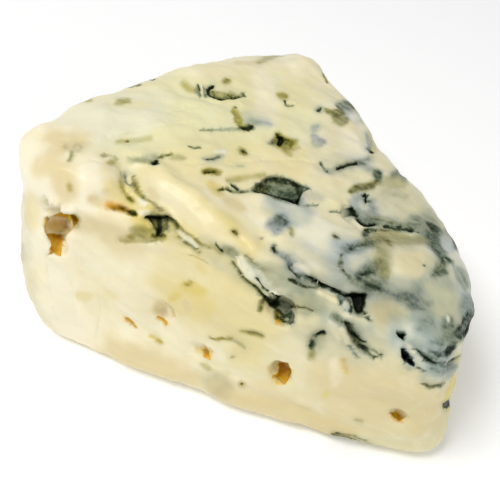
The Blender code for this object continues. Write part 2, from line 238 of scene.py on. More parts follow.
def lump(width, *route, **more):
    """Clean paste standing up out of the mould. A few lumps also carry painted light, as their marks say.
    """
    return PLAIN._replace(width=width, route=route, coat="milk", strength=0.25, fade=2.6, clear=0.85,
                          dip=-0.2)._replace(**more)


def fold(width, *route, **more):
    """A crease in clean paste: no colour of its own."""
    return PLAIN._replace(width=width, route=route, strength=0.0, dip=0.2, lip=0.25,
                          toward=(0, 1))._replace(**more)


MARKS = {
    # Broad tones of the paste, with painted shade and painted light where a mark says so
    "tone, white tip": tint("cream", 22, (28, 160), (40, 200), (30, 240), strength=0.7, fade=30),
    "tone, cream block": tint("cream", 15, (92, 165), (88, 190), (88, 202), strength=0.7, fade=12),
    "tone, cream ridge": tint("cream", 8, (150, 182), (172, 196), (192, 212), strength=0.7, fade=12),
    "tone, front cream": tint("cream", 14, (60, 270), (64, 310), (80, 330), fade=20),
    "tone, ridge yellow": tint("yellow", 14, (150, 222), (200, 224), (240, 246), strength=0.7, fade=26),
    "tone, front yellow": tint("yellow", 26, (170, 270), (230, 300), (250, 340), strength=0.4, fade=34),
    "tone, front tan": tint("tan", 22, (330, 380), (370, 395), (400, 390), strength=0.55, fade=30),
    "tone, corner tan": tint("tan", 12, (420, 425), (436, 400), strength=0.55, fade=20),
    # Painted shade: tan along the bottom of the front, where the paste turns down toward the floor
    "tone, painted tan shade low on the front": tint("tan", 8, (220, 396), (300, 420), (350, 434), strength=0.7, fade=14),
    "tone, right tan": tint("tan", 12, (378, 308), (394, 314), strength=0.7, fade=10),
    "tone, top lime": tint("lime", 40, (110, 125), (200, 120), (290, 110), strength=0.7, fade=40),
    "tone, top yellow": tint("yellow", 20, (150, 176), (220, 165), (290, 165), strength=0.3, fade=26),
    "tone, far yellow": tint("yellow", 12, (215, 75), (260, 100), (300, 90), strength=0.15, fade=26),
    "tone, right grey": haze(22, (430, 290), (446, 316), (440, 340), strength=0.15, blue=0.3, fade=26),
    "tone, shoulder grey": haze(16, (404, 322), (420, 336), (440, 356), strength=0.15, blue=0.1, fade=20),
    "tone, under the crease": haze(8, (294, 294), (304, 302), (316, 306), strength=0.25, blue=0.1,
                                   olive=0.4),
    # Painted shade: a faint greenish darkening along the left edge, where the paste turns away from the
    # light
    "tone, painted shade on the left edge": haze(5, (22, 200), (22, 262), (34, 316), (58, 348), strength=0.1, olive=0.5,
                            fade=10),
    "tone, top cream": tint("cream", 9, (262, 80), (268, 100), (266, 118), strength=0.5, fade=14),
    "tone, far edge cream": tint("cream", 7, (346, 136), (356, 146), (362, 154), fade=10),
    "tone, stain's field": tint("yellow", 16, (160, 284), (184, 298), (204, 308), strength=0.4, fade=16),
    "tone, shoulder milk": tint("milk", 18, (398, 330), (420, 346), (444, 366), strength=0.4, fade=14),
    "tone, ring grey": haze(16, (345, 250), (350, 275), (372, 292), blue=0.8, fade=18),
    "tone, ridge grey": haze(9, (205, 246), (240, 268), (290, 292), strength=0.15, blue=0.6, fade=12),
    # Painted shade: faint grey low on the front, where the paste turns down toward the floor
    "tone, painted grey shade low on the front": haze(4, (208, 380), (226, 388), strength=0.15, blue=0.1, olive=0.3, fade=14),
    "tone, crevice yellow": tint("yellow", 8, (116, 190), (128, 200), (146, 222), strength=0.7, fade=14),
    "tone, left front shade": tint("tan", 8, (104, 226), (120, 240), (140, 252), strength=0.55, fade=16),
    "tone, tip shade": tint("tan", 7, (44, 168), (56, 168), (68, 190), strength=0.7, fade=18),
    "tone, low left shade": tint("tan", 10, (110, 350), (150, 366), (190, 380), strength=0.7, fade=16),
    "tone, right field": haze(30, (380, 210), (420, 260), (430, 300), strength=0.1, fade=30),
    "tone, middle field": haze(20, (300, 260), (340, 290), (380, 320), strength=0.15, fade=24, blue=0.6),
    "tone, low middle field": haze(14, (310, 330), (345, 345), (380, 345), strength=0.1, fade=18),
    "tone, opening's side": tint("tan", 4, (80, 222), (92, 228), fade=12),
    "tone, top white": tint("milk", 20, (70, 122), (112, 118), (150, 110), strength=0.4, fade=24),
    "tone, centre pale": tint("milk", 12, (285, 205), (320, 232), (350, 250), strength=0.45, fade=18),
    "tone, ridge pale": tint("cream", 8, (170, 205), (205, 225), (235, 250), strength=0.5, fade=14),
    "tone, front upper pale": tint("milk", 8, (80, 258), (140, 264), (200, 280), strength=0.2, fade=14),
    # Painted light: a pale tint along the foot, standing in for light thrown back from the white floor
    "tone, painted bounce light on the foot": tint("milk", 7, (150, 384), (230, 400), (300, 420), strength=0.15, fade=12),
    "tone, low front shade": tint("tan", 9, (212, 384), (250, 392), (300, 404), strength=0.45, fade=14),
    "tone, right edge pale": tint("milk", 7, (452, 250), (466, 280), (470, 308), strength=0.55, fade=12),

    # The blunt tip and the pale block beside it
    "tip, nick": green(1.4, (22, 180), (22, 188), strength=1.0, halo=0.1, blue=0.0, olive=0.8),
    "tip, grey sliver": grey(0.9, (21.6, 247), (22, 260), strength=0.1, olive=0.5, blue=0.1),
    # A raised bump by the tip, painted cream: partly the paste's colour, partly a painted highlight
    "tip, white bump and painted highlight": lump(3.0, (67, 151), (68, 154), coat="cream", strength=0.7, dip=-0.3),
    "tip, brown speck": olive(0.9, (65, 146), (66, 147), strength=0.05, dip=0.1, blue=0.6, olive=0.6),
    "tip, low arc": grey(0.8, (68, 160), (71, 156), (72, 152), strength=0.35, fade=3.0, blue=0.1,
                         olive=0.5),
    "tip, grey ring": grey(0.8, (74, 146), (77, 143), (81, 145), (80, 150), (76, 150), strength=0.1,
                           fade=2.6),
    "tip, olive spot": olive(0.8, (69.4, 185), (70.4, 190), strength=0.2, olive=0.9),
    "tip, yellow band": tint("yellow", 3, (30, 196), (33, 224), strength=0.35, fade=12),
    "tip, tan shade": tint("tan", 6, (52, 136), (66, 142), (84, 140), strength=0.7, fade=14),
    "block, upper edge": fold(1.5, (78, 166), (88, 160), (100, 162), dip=0.1, lip=0.15, toward=(0, -1)),
    "block, shaded side": tint("tan", 4, (106, 168), (110, 184), (118, 198), strength=0.25, fade=10),
    "block, tan foot": tint("tan", 3, (90, 198), (100, 203), (108, 204), strength=0.7, fade=5),
    "block, grey pit": grey(2.6, (103, 155), (110, 157), (117, 160), strength=0.25, dip=0.3, fade=2,
                            olive=0.5, blue=0.1),
    "block, pit's white": lump(1.3, (107, 158), (113, 160), coat="cream", strength=0.05),
    "block, pit's brown rim": olive(0.8, (109, 163), (114, 163), strength=0.2, blue=0.1, olive=0.9),
    "block, brown streak": tint("amber", 2.6, (108, 206), (118, 207), (128, 210), strength=1.0, fade=5),
    "block, streak's olive": olive(1.2, (112, 208), (121, 208), (128, 211), strength=0.55, fade=3.5,
                                   grain=0.7, blue=0.3, olive=0.5),
    "block, dark end of streak": olive(2.2, (129, 212), (133, 213), (136, 213), strength=0.85, fade=3.5,
                                       dip=0.3, grain=0.4),

    # The crevice between the block and the ridge
    "crevice, haze": grey(3.4, (127, 173), (129, 179), (131, 184), strength=0.3, fade=5, dip=0.5,
                          blue=0.6, grain=0.7),
    "crevice, left edge": olive(1.0, (121, 174), (122, 182), (125, 191), (129, 198), (133, 202),
                                strength=0.2, fade=2.6, blue=0.5, olive=0.8),
    "crevice, right edge": olive(1.2, (133, 177), (135, 182), (136, 188), strength=0.4, fade=2.6,
                                 blue=0.4, olive=0.9),
    "crevice, dark foot": olive(1.4, (137, 190), (140, 194), (143, 197), strength=0.4, fade=2.6, blue=0.4,
                                olive=0.8),
    "crevice, inner line": green(0.6, (126, 175), (128, 178), strength=0.15, fade=1.6, blue=0.3),
    "crevice, cross line": green(0.6, (130, 179), (130, 184), strength=0.25, fade=1.6, blue=0.6,
                                 olive=0.0),
    "crevice, white bits": lump(1.3, (129, 175), (130, 180), coat="cream", strength=0.05, clear=0.9),
    "crevice, more white": lump(1.4, (127, 186), (129, 192), coat="cream", strength=0.05, clear=0.9),
    "crevice, pale bit": lump(3.0, (139, 201), (144, 204), strength=0.7, dip=-0.15),
    "crevice, white foot": lump(2.4, (138, 211), (144, 213), (149, 213), strength=0.6, dip=-0.15,
                                clear=0.9),
    "crevice, brown": olive(1.2, (128, 198), (131, 201), strength=0.55, fade=3, blue=0.4, olive=0.8),
    "crevice, thin line": olive(0.6, (143, 197), (152, 202), (159, 209), (163, 211), strength=0.25,
                                fade=2.4, blue=0.4, olive=0.6),
    "crevice, shadow": tint("tan", 4, (150, 190), (158, 198), strength=0.5, fade=5),

    # The pit on the ridge and the folds that run on from it
    "ridge pit, haze": haze(5, (164, 222), (172, 230), (182, 241), strength=0.1, fade=8, blue=0.3),
    "ridge pit, green left": olive(4.5, (134, 231), (142, 231), (150, 231), strength=0.25, fade=6,
                                   blue=0.1, olive=0.6),
    "ridge pit, black top": green(0.0, (147, 217.6), (152, 217), (159, 217.4), (165, 218), (167.5, 222),
                                  (168, 228), (163, 232), (162, 235), (156.5, 235.5), (157, 231),
                                  (153, 225), (149.5, 220), closed=True, fade=2.4, dip=0.5, olive=0.3,
                                  blue=0.1, grain=0.3),
    "ridge pit, black middle": green(2.0, (150, 218), (154, 221), strength=0.45, fade=2.6, dip=0.2,
                                     blue=0.5),
    "ridge pit, roof": black(0.9, (146, 217.4), (153, 217.6), (159, 218), (166, 217.4), strength=0.9,
                             fade=1.8),
    "ridge pit, stem": black(1.0, (158, 218), (159.5, 224), (158.5, 230), (157, 235), strength=0.8,
                             fade=2.2, olive=0.3),
    "ridge pit, right wall": green(2.6, (164, 220), (167, 226), strength=0.25, fade=3, blue=0.4),
    "ridge pit, dark foot": olive(1.4, (152, 235), (158, 236), (164, 236), strength=0.5, fade=2.6,
                                  blue=0.1),
    "ridge pit, grey lump": lump(2.4, (148, 224), (151, 226), clear=0.7, strength=0.05),
    "ridge pit, mottled right": green(2.0, (168, 226), (172, 230), strength=0.25, dip=0.3, blue=0.6,
                                      olive=0.0),
    "ridge pit, right lump": lump(1.8, (168, 224), (172, 229), clear=0.6, coat="cream", strength=0.05),
    "ridge pit, roof line": black(0.6, (166, 217), (171, 219), (175, 222), (178, 226), strength=0.6,
                                  fade=1.8, olive=0.5, lip=0.3, toward=(-0.4, 1)),
    "ridge pit, olive dash": olive(1.5, (129, 237), (133, 237), strength=0.15, blue=0.1, fade=2.6),
    "ridge pit, underline": olive(1.0, (120, 241), (136, 242), (150, 242), (164, 240), strength=0.2,
                                  lip=0.25, toward=(0, -1), blue=0.4, olive=0.7),
    "ridge, first fold": line(0.6, (176, 223), (183, 230), (192, 237), (202, 243), (210, 247),
                              strength=0.3, olive=0.6, fade=2.2, dip=0.25, lip=0.2, toward=(-1, 1)),
    "ridge, second fold": line(0.5, (179, 236), (189, 244), (200, 252), strength=0.25, fade=2, dip=0.2,
                               olive=0.5),
    "ridge, pale smear": lump(1.6, (180, 231), (187, 238), (196, 246), strength=0.65, clear=0.6,
                              dip=-0.12),
    "ridge, third fold": line(0.5, (185, 242), (193, 246), (199, 252), strength=0.25, dip=0.2, lip=0.2,
                              toward=(-1, 1)),
    "ridge, fourth fold": fold(0.6, (189, 256), (197, 258), (207, 264), lip=0.2, toward=(-1, 1)),
    "ridge, olive bits": olive(1.6, (211, 245), (217, 249), (222, 252), strength=0.15, fade=2.4, blue=0.6,
                               olive=0.9),
    "ridge, short line": line(0.7, (216.5, 243.7), (219, 247), (223, 250.5), strength=0.85),
    "ridge, grey bits": green(3.0, (224, 249), (230, 252), (237, 257), strength=0.3, dip=0.2, olive=0.3,
                              blue=0.4),
    "flap, pale": lump(0.0, (236, 257), (243, 256), (256, 267), (268, 281), (280, 295), (271, 291),
                       (260, 285), (248, 276), (238, 266), closed=True, strength=0.6, clear=0.8,
                       dip=-0.25, fade=2.0),
    "flap, left edge": line(0.8, (234, 262), (241, 273), (249, 281), (256, 287), (266, 296), strength=0.5,
                            fade=1.8, olive=0.5, dip=0.35, lip=0.4, toward=(-1, 1)),
    "flap, edge's dark": line(0.9, (254, 286), (260, 291), (266, 297), strength=0.7, fade=1.8),
    "flap, right edge": olive(0.7, (246, 257), (253, 264), (260, 269), (267, 272), strength=0.3, fade=2.6,
                              olive=0.5, dip=0.3, blue=0.1),
    "ridge, light slab": lump(2.4, (262, 279), (270, 286), (278, 293), strength=0.05, clear=0.8),
    "ridge, black fleck": black(0.8, (257, 278), (260, 281), (263, 285), strength=0.75, fade=1.6, dip=0.3,
                                olive=0.3),
    "ridge, slab's line": line(0.9, (263, 286), (271, 290.5), (279, 296.5), dip=0.35, lip=0.2,
                               toward=(-1, 1)),
    "ridge, grey end": haze(7.0, (262, 268), (272, 274), (284, 281), fade=8, blue=0.1, olive=0.4),
    "middle, dot": olive(1.2, (233, 231), (236, 234), strength=0.6, fade=1.8, halo=0.3, blue=0.6,
                         olive=0.8),
    "middle, dot's tan": tint("tan", 4, (238, 232), (241, 234), strength=0.7),
    "middle, small dot": line(0.6, (261, 238), (263, 238), strength=0.6),
    "middle, second dot": olive(1.5, (335, 236), (337, 237), strength=0.6, fade=1.6, halo=0.3, blue=0.4,
                                olive=0.9),
    "middle, small olive": olive(1.0, (291, 229), (292, 234), strength=0.4, blue=0.1, olive=0.9),

    # Large opening near the tip
    # Painted light: cream inside the opening lightens its shaded inside, standing in for light glowing
    # through the paste; the mark also presses the opening in
    "opening, mouth with painted glow": tint("cream", 0, (44, 220), (47, 216), (56, 214), (63, 211.6), (73, 212.7),
                           (78, 219), (72, 230), (65, 237), (62, 245), (61, 257), (46, 257), (50, 250),
                           (53, 245), (50.6, 239), (44.7, 232), strength=0.65, fade=0.8, dip=1.0,
                           closed=True),
    "opening, brow": fold(5.0, (47, 205), (54, 203), (62, 206), dip=-1.0, lip=0.0),
    # Raises the paste over the opening; its cream is painted light on a wall that faces down into shade
    "opening, brow's right with painted light": lump(3.0, (63, 206), (69, 207), (75, 211), coat="cream", strength=0.5,
                                  dip=-1.1),
    "opening, pale back": tint("tan", 5, (54, 228), (66, 229), strength=0.7, fade=4),
    "opening, brown roof": tint("amber", 0, (53, 216.6), (59, 214), (71, 213.4), (77.4, 218.8),
                                (74.6, 223.4), (66, 220.4), (57, 219), closed=True, strength=1.0,
                                fade=2.0),
    "opening, roof shade": olive(0.8, (62, 213), (70, 213), (76, 217), strength=0.2, fade=3.5, dip=0,
                                 blue=0.5, olive=0.8),
    "opening, left wall": tint("amber", 1.3, (45.6, 220), (46, 226), (49.6, 233), strength=1.0, fade=4),
    "opening, left wall's olive": olive(1.0, (46, 219), (48, 227), strength=0.3, fade=4),
    "opening, gold inside": tint("amber", 4.0, (55, 227), (68, 228), strength=0.55, fade=5),
    "opening, waist": tint("amber", 0, (51, 235), (64, 236), (61.5, 245), (60.5, 255), (48.5, 255.6),
                           (50.5, 250), (54, 245.5), closed=True, strength=1.0, fade=1.0),
    "opening, foot": olive(0.6, (51, 236), (58, 237), (65, 236), strength=0.2, fade=3, dip=0),

    # Marks on the far half of the top
    "top, edge vein": green(1.2, (259, 62), (267, 58), (275, 56), (282, 54), strength=0.15, dip=0.2,
                            blue=0.3, olive=0.6),
    "top, tan line": tint("tan", 1.2, (234, 63), (246, 63), (258, 62), strength=0.5, fade=2.5),
    "top, back olive": olive(1.6, (117, 102), (123, 101), (129, 101), strength=0.25, fade=3, blue=0.3,
                             olive=0.7),
    "top, back shade": tint("yellow", 3, (108, 103), (130, 104), (150, 106), strength=0.2, fade=5),
    "top, edge line": line(0.6, (124, 88), (132, 86), (140, 85), strength=0.65, fade=1.8),
    "top, edge dot": line(1.0, (151, 79), (153, 79), strength=0.9),
    "top, small edge olive": olive(0.9, (86, 100), (90, 100), strength=0.25),
    "top, olive spot": olive(1.5, (225, 81), (228, 81), strength=0.25, halo=0.25, blue=0.6, olive=0.8),
    "streak, olive start": olive(1.6, (184, 84), (190, 89), (197, 91), strength=0.2, fade=5),
    "streak, grey field": grey(4.5, (197, 91), (206, 92), strength=0.3, fade=4, blue=0.7, olive=0.0),
    "streak, first line": line(0.7, (199, 85), (200, 91), (200, 97), strength=0.8),
    "streak, second line": line(0.7, (204, 87), (204, 92), (206, 97), strength=0.7),
    "streak, white bits": lump(0.8, (202, 86), (202, 94), strength=0.05),
    "streak, black curl": black(1.1, (213, 86), (209, 89), (209, 94), (213, 97), strength=0.95),
    "streak, belly": green(3.0, (214, 93), (223, 96), (234, 96), strength=0.7, dip=0.3, olive=0.6,
                           blue=0.1),
    "streak, pale belly": lump(1.5, (217, 92), (225, 93), strength=0.05, clear=0.4),
    "streak, lower edge": line(1.0, (212, 97), (222, 99), (234, 98), (244, 95), strength=0.85, fade=1.6,
                               dip=0.35, lip=0.2, toward=(0, -1)),
    "streak, olive head": olive(2.6, (279, 95), (286, 96), strength=0.25, fade=2.6, halo=0.2),
    "top, black comma": line(0.9, (285, 101), (287, 105), (291, 106), (294, 105), strength=0.9, dip=0.3),
    "top, comma's white": lump(1.5, (291, 102), (294, 103), strength=0.05, clear=0.9),
    "top, speck": line(0.8, (235, 106), (236, 107)),
    "top, olive band": olive(2.6, (234, 109), (237, 117), (241, 125), strength=0.4, fade=3, dip=0.2),
    "top, dark head": black(2.2, (243, 127), (249, 127), (253, 126), strength=0.85, olive=0.7, dip=0.5),
    "top, lavender": haze(4.0, (245, 115), (254, 120), (267, 124), blue=1.0),
    "top, lavender line": grey(1.0, (250, 121), (260, 123), (269, 124), strength=0.1, blue=0.5),
    "top, grey line": line(0.6, (201, 130), (212, 129), strength=0.5, fade=1.8),
    "top, long grey line": grey(0.8, (212, 130), (226, 129), (243, 128), strength=0.25, fade=2, blue=0.2),
    "top, dash": line(0.8, (189, 146), (195, 147), (200, 147), strength=0.6, fade=1.6),
    "top, blue dash": green(1.6, (204, 159), (213, 159), (222, 156), strength=0.2, blue=1.0, olive=0.0),
    "top, blue dash's core": line(0.7, (207, 159), (214, 158), (220, 157), strength=0.6),
    "top, olive knot": olive(2.0, (241, 151), (246, 153), strength=0.4, blue=0.6, olive=0.9),
    "top, knot's core": line(0.9, (242, 150), (246, 152), strength=0.85),
    "top, white slit": lump(1.2, (215, 152), (226, 152), strength=0.7),
    "top, bar": olive(2.4, (205, 171), (211, 171), (220, 172), strength=0.3, fade=2, halo=0.2, dip=0.3,
                      blue=0.5, olive=0.9),
    "top, bar's core": line(0.9, (205, 172), (212, 171), (216, 171), strength=0.6, olive=1.0),
    "top, olive bit": olive(1.0, (172, 157), (178, 157), (184, 158), strength=0.15, blue=0.4, olive=0.5),
    "top, black hole": black(2.3, (153, 163), (158, 160), dip=0.7),
    "top, hole's left tail": grey(1.2, (130, 160), (140, 160), (151, 161), strength=0.45, dip=0.2,
                                  blue=0.1, olive=0.3),
    "top, hole's right tail": line(0.7, (159, 157), (165, 155), (172, 154), strength=0.5, olive=0.5,
                                   fade=1.8),
    "top, hole's shade": grey(2.5, (144, 157), (156, 156), strength=0.15, fade=4, olive=0.0),
    "top, grey dot": line(0.9, (126, 142), (128, 142), strength=0.8, olive=0.5),
    "top, dot's smear": olive(2.0, (118, 142), (134, 141), (150, 138), strength=0.1, fade=3.5, blue=0.1,
                              olive=0.9),
    "top, faint dash": grey(0.8, (237, 165), (243, 167), strength=0.15, fade=1.6, olive=0.0),
    "top, small speck": black(1.0, (317, 110), (321, 109), strength=0.75, halo=0.25),
    "top, green blotch": olive(3.2, (328, 111), (336, 112), (343, 114), strength=0.35, fade=4, blue=0.3,
                               olive=0.8),
    "top, black-green blotch": green(2.6, (339, 105), (346, 105), (351, 107), strength=0.25, halo=0.3,
                                     blue=0.5),
    "top, green tail": olive(3.4, (334, 117), (340, 121), (346, 121), strength=0.35, fade=4, blue=0.3,
                             olive=0.7),
    "top, lavender edge": haze(4.0, (346, 112), (354, 115), (360, 119), blue=1.0),
    "top, white by the edge": lump(2.0, (351, 116), (357, 119), strength=0.55, clear=0.5),
    "spots, upper": grey(2.4, (313, 129), (318, 127), strength=0.2, blue=0.8),
    "spots, lower": grey(3.6, (314, 137), (318, 142), (323, 142), strength=0.3, blue=0.8),
    "star pit, shade": olive(4.0, (278, 141), (288, 143), strength=0.35, fade=8, halo=0.0),
    "star pit, brown heart": black(1.8, (278, 134), (281, 140), (279, 145), dip=1.0, olive=0.9, halo=0.3,
                                   strength=0.9, blue=0.8),
    "star pit, left": olive(1.8, (270, 143), (276, 142), strength=0.2, dip=0.5, olive=0.0, blue=0.6),
    "star pit, right arm": olive(1.8, (284, 140), (289, 142), (296, 141), strength=0.35, dip=0.5,
                                 blue=0.1),
    "star pit, low right arm": olive(1.4, (285, 144), (292, 148), (298, 147), strength=0.15, dip=0.3,
                                     blue=0.6, olive=0.9),
    "star pit, lower arm": olive(1.0, (283, 147), (286, 151), (290, 155), strength=0.2, blue=0.2,
                                 olive=0.9),
    "edge, crack's grey": green(1.2, (367, 134), (369, 141), (370, 148), strength=0.15, dip=0.3, blue=0.6,
                                olive=0.0),
    "edge, crack's black": black(1.6, (369, 148), (373, 151), dip=0.5),
    "edge, rind": tint("yellow", 3.4, (369, 134), (372, 145), (377, 154), strength=0.2, fade=2.0),
    "edge, rind's tan": tint("tan", 2.0, (373, 140), (377, 151), strength=0.7, fade=2.0),
    "edge, upper rim": tint("yellow", 1.2, (353, 107), (359, 113), (364, 119), strength=0.9, fade=2),
    "corner, rind": tint("yellow", 2.4, (323, 72), (327, 82), strength=0.95, fade=2.0),
    "corner, line": line(0.6, (321, 66), (324, 73), (327, 82), strength=0.6, fade=1.8, dip=0.3),

    # The long vein and the blotches right of it
    "long vein, haze": haze(6.0, (325, 168), (345, 163), (370, 160), strength=0.1, blue=0.9),
    "long vein, start": line(0.9, (321, 163), (324, 167), (328, 170), strength=0.6, fade=2),
    "long vein": green(2.0, (328, 171), (338, 169), (348, 164), (360, 163), (370, 158), strength=0.15,
                       dip=0.3, blue=0.6),
    "long vein, dark": black(1.1, (339, 168), (348, 164), (358, 163), strength=0.85, olive=0.4, dip=0.3),
    "long vein, fork": green(1.2, (361, 164), (366, 168), (370, 169), strength=0.15, blue=0.4, olive=0.1),
    "blotch, left": green(2.6, (376, 173), (379, 178), strength=0.55, halo=0.3, blue=0.2),
    "blotch, right": green(2.8, (394, 174), (400, 173), (406, 177), strength=0.35, halo=0.3, blue=0.3),
    "blotch, olive": olive(5.0, (384, 184), (394, 182), (402, 184), strength=0.1, fade=6),
    "bend, olive arm": olive(2.8, (351, 191), (358, 188), (368, 186), (376, 183), strength=0.45,
                             halo=0.25, blue=0.4, olive=0.9),
    "bend, lavender field": haze(8.0, (360, 202), (364, 212), (370, 216), strength=0.4, blue=1.0),
    "bend, white lumps": lump(3.0, (361, 203), (366, 208), strength=0.2, clear=0.5),
    "bend, black spike": black(1.0, (363.6, 196.4), (366.4, 195), (366, 198), (365.6, 201.6), dip=0.5,
                               lip=0.3, toward=(-1, 0)),
    "bend, spike's foot": line(0.9, (366, 202), (369, 201.4), strength=0.6),
    "right top, faint line": grey(1.2, (384, 192), (396, 194), (406, 197), strength=0.1, olive=0.6,
                                  blue=0.2),

    # Dark hollow
    "hollow, shade above": olive(1.4, (228, 180), (246, 177.5), (264, 175), strength=0.2, fade=3.5,
                                 olive=0.8),
    "hollow, ochre start": tint("yellow", 5, (210, 184), (216, 190), (220, 194), strength=0.7, fade=5),
    "hollow, tan below": tint("tan", 5, (226, 201), (236, 204), (243, 209), strength=0.7, fade=6),
    "hollow, field": green(0.0, (249.5, 190), (256.5, 183.8), (269.6, 179.6), (278.3, 177), (285.4, 178),
                           (297, 184.3), (309, 187.6), (302.5, 192), (299, 199.6), (298, 203.4),
                           (292.7, 200), (281, 196.4), (264, 193), closed=True, strength=0.6, fade=1.6,
                           halo=0.05, dip=0.3, olive=0.0, blue=0.0, grain=0.25),
    "hollow, dark roof": line(0.8, (262, 181), (274, 177), (285, 178), (296, 183), (308, 187),
                              strength=0.3, fade=2.5, olive=0.2),
    "hollow, dark left": olive(3.0, (259, 187.4), (263, 188), (267, 189.6), strength=0.55, fade=4,
                               olive=0.8),
    "hollow, top shade": line(1.8, (268, 181), (276, 179.6), (284, 181), strength=0.3, fade=4, olive=0.5),
    "hollow, cream below": tint("cream", 4.0, (262, 201), (274, 204), (290, 210), strength=0.55, fade=6),
    "hollow, inner line": line(0.9, (290, 181), (297, 186), (298, 192), strength=0.7, fade=2),
    "hollow, low shade": black(1.2, (264, 194), (276, 197), (288, 200), strength=0.55, fade=2.6,
                               olive=0.3),
    "hollow, black corner": black(1.8, (300, 193), (298, 198), (297.6, 203), dip=0.6),
    "hollow, corner's left": black(1.6, (288, 198), (294, 200), strength=0.95),
    "hollow, lower lip": black(0.8, (256, 191.6), (264, 193.6), (281, 197), (292, 200.6), (298, 204),
                               strength=0.9, fade=1.4, dip=0.45, lip=0.4, toward=(0, -1)),
    "hollow, pale left lump": lump(2.4, (239, 186), (247, 187), (254, 186), strength=0.05, clear=0.9),
    "hollow, left line": line(0.8, (228, 190), (238, 191), (249, 191), dip=0.3),
    "hollow, left dash": line(1.1, (219, 190), (224, 190), (229, 189), olive=0.6),
    "hollow, left wedge": black(1.0, (232, 184), (235, 187), (238, 189), strength=0.8),
    "hollow, right line": line(0.35, (302, 205), (310, 205.6), (318, 205.6), strength=0.4),
    "hollow, right shade": grey(3.0, (304, 198), (312, 196), (322, 198), strength=0.1, blue=0.6,
                                olive=0.0),

    # Blue spot and the crease below it
    "blue spot, field": haze(7, (272, 224), (281, 226), strength=0.55, blue=1.0, fade=8),
    "blue spot, soft shade": haze(10, (270, 206), (290, 211), (304, 214), strength=0.25, blue=0.2,
                                  fade=12),
    "blue spot, right arc": green(2.2, (279, 217), (284, 217), (286, 223), strength=0.15, blue=0.8,
                                  halo=0.3, olive=0.1),
    "blue spot, pale middle": lump(2.2, (276, 221), (280, 223), coat="mould", strength=0.15, blue=0.0),
    "blue spot, right arc's core": line(0.7, (281, 216), (285, 219), (286, 223), strength=0.6),
    "crease, start": black(0.9, (274.4, 247), (275.4, 251), strength=0.9, halo=0.3, dip=0.4),
    "crease, lavender run": green(1.6, (277, 252), (283, 256), (289, 261), (291, 267), strength=0.3,
                                  blue=0.8, olive=0.0),
    "crease, middle": green(2.6, (289, 266), (296, 271), (303, 275), strength=0.05, halo=0.3, dip=0.2,
                            blue=0.9, olive=0.0),
    "crease, white sliver": lump(3.0, (296, 266), (303, 270), (309, 275), strength=0.2, clear=0.7,
                                 fade=3),
    "crease, first black": line(1.1, (290, 269), (297, 275), (305, 277), (314, 280), (323, 284),
                                strength=0.9, dip=0.35),
    "crease, second black": black(1.7, (306, 277), (312, 280), (318, 282), strength=0.9, dip=0.5,
                                  grain=0.3),
    "crease, lower line": line(0.9, (290, 279), (299, 283), (308, 286), (317, 286.5), (322, 285),
                               strength=0.8, dip=0.3),
    "crease, grey between": green(2.0, (298, 279), (306, 281), (314, 282), strength=0.2, blue=0.4),
    "crease, thick": black(1.0, (318, 282), (324, 284), (333, 288), (341, 292), (349, 294.5), dip=0.6,
                           lip=0.4, toward=(-0.4, 1)),
    "crease, far": black(1.5, (345, 294), (354, 295.5), (364, 296), dip=0.6, grain=0.3),
    "crease, black triangle": black(0.0, (350, 293), (366, 295), (364.5, 304), (360, 313), (356, 312),
                                    (353.5, 303), closed=True, dip=1.0, fade=2.0, strength=0.95),
    "crease, blue left of triangle": grey(4.0, (341, 299), (346, 304), (349, 311), strength=0.6, blue=0.8,
                                          olive=0.0),
    "crease, white lumps": lump(2.6, (345, 303), (347, 309), strength=0.05, clear=0.7),
    "crease, more lumps": lump(3.0, (343, 315), (350, 316), strength=0.3, clear=0.9),
    "crease, lump's line": line(0.8, (338, 295), (340, 299), (340, 305), strength=0.6),
    "crease, dark by the lumps": line(0.7, (350, 300), (352, 308), (350, 314), strength=0.7),
    "crease, lower pale": lump(2.5, (320, 291), (330, 295), (335, 301), strength=0.05, dip=-0.25,
                               clear=0.9),

    # The cleft and the ring of mould right of it
    "cleft, tail": line(0.7, (330, 211), (337, 212), (343, 213), strength=0.5, dip=0.3),
    "cleft, black wedge": black(0.0, (343.6, 213), (348, 210), (352, 207.4), (354.6, 212), (353.4, 216.6),
                                (348, 215), closed=True, dip=0.6, fade=1.8, strength=0.9),
    "cleft, line": black(1.0, (355, 216), (358, 221), (363, 225), (368, 226), (374, 225), dip=0.6,
                         lip=0.5, toward=(0.3, -1)),
    "cleft, pale lip": lump(1.2, (352, 221), (358, 227), (366, 230), strength=0.05, clear=0.6),
    "cleft, granular band": green(4.6, (368, 219), (384, 222), (398, 226), (414, 226), strength=0.15,
                                  fade=5, halo=0.2, dip=0.2, blue=0.3, olive=0.3, grain=0.6),
    "cleft, band's spot": black(1.5, (384, 227), (389, 227), strength=0.8),
    "cleft, band's second spot": black(1.0, (398, 226), (401, 227), strength=0.6, fade=2),
    "cleft, band's third spot": black(1.0, (408, 229), (412, 231), strength=0.6, fade=2),
    "cleft, band's top": line(0.8, (372, 218), (384, 219), (394, 223), strength=0.35, olive=0.4),
    "cleft, band's line": line(0.7, (388, 228), (398, 229), (408, 230), (420, 233), strength=0.5),
    "cleft, band's line below": line(0.7, (364, 231), (376, 231), (390, 232), strength=0.5, olive=0.6),
    "cleft, lower blob": green(2.0, (364, 235), (368, 232), (374, 232), strength=0.7, blue=0.3),
    "cleft, right rise": green(4.0, (410, 224), (415, 219), (418, 222), strength=0.25, fade=5, blue=0.3,
                               grain=0.5),
    "cleft, dark right": green(5.0, (426, 219), (431, 226), (436, 232), strength=0.05, fade=5, halo=0.3,
                               reach=7, dip=0.3, blue=0.6, grain=0.5),
    "cleft, black right": black(1.5, (428, 221), (434, 227), (438, 231), strength=0.5, fade=3),
    "cleft, band's end": green(2.2, (416, 230), (426, 233), (434, 238), strength=0.15, blue=0.6,
                               olive=0.0),
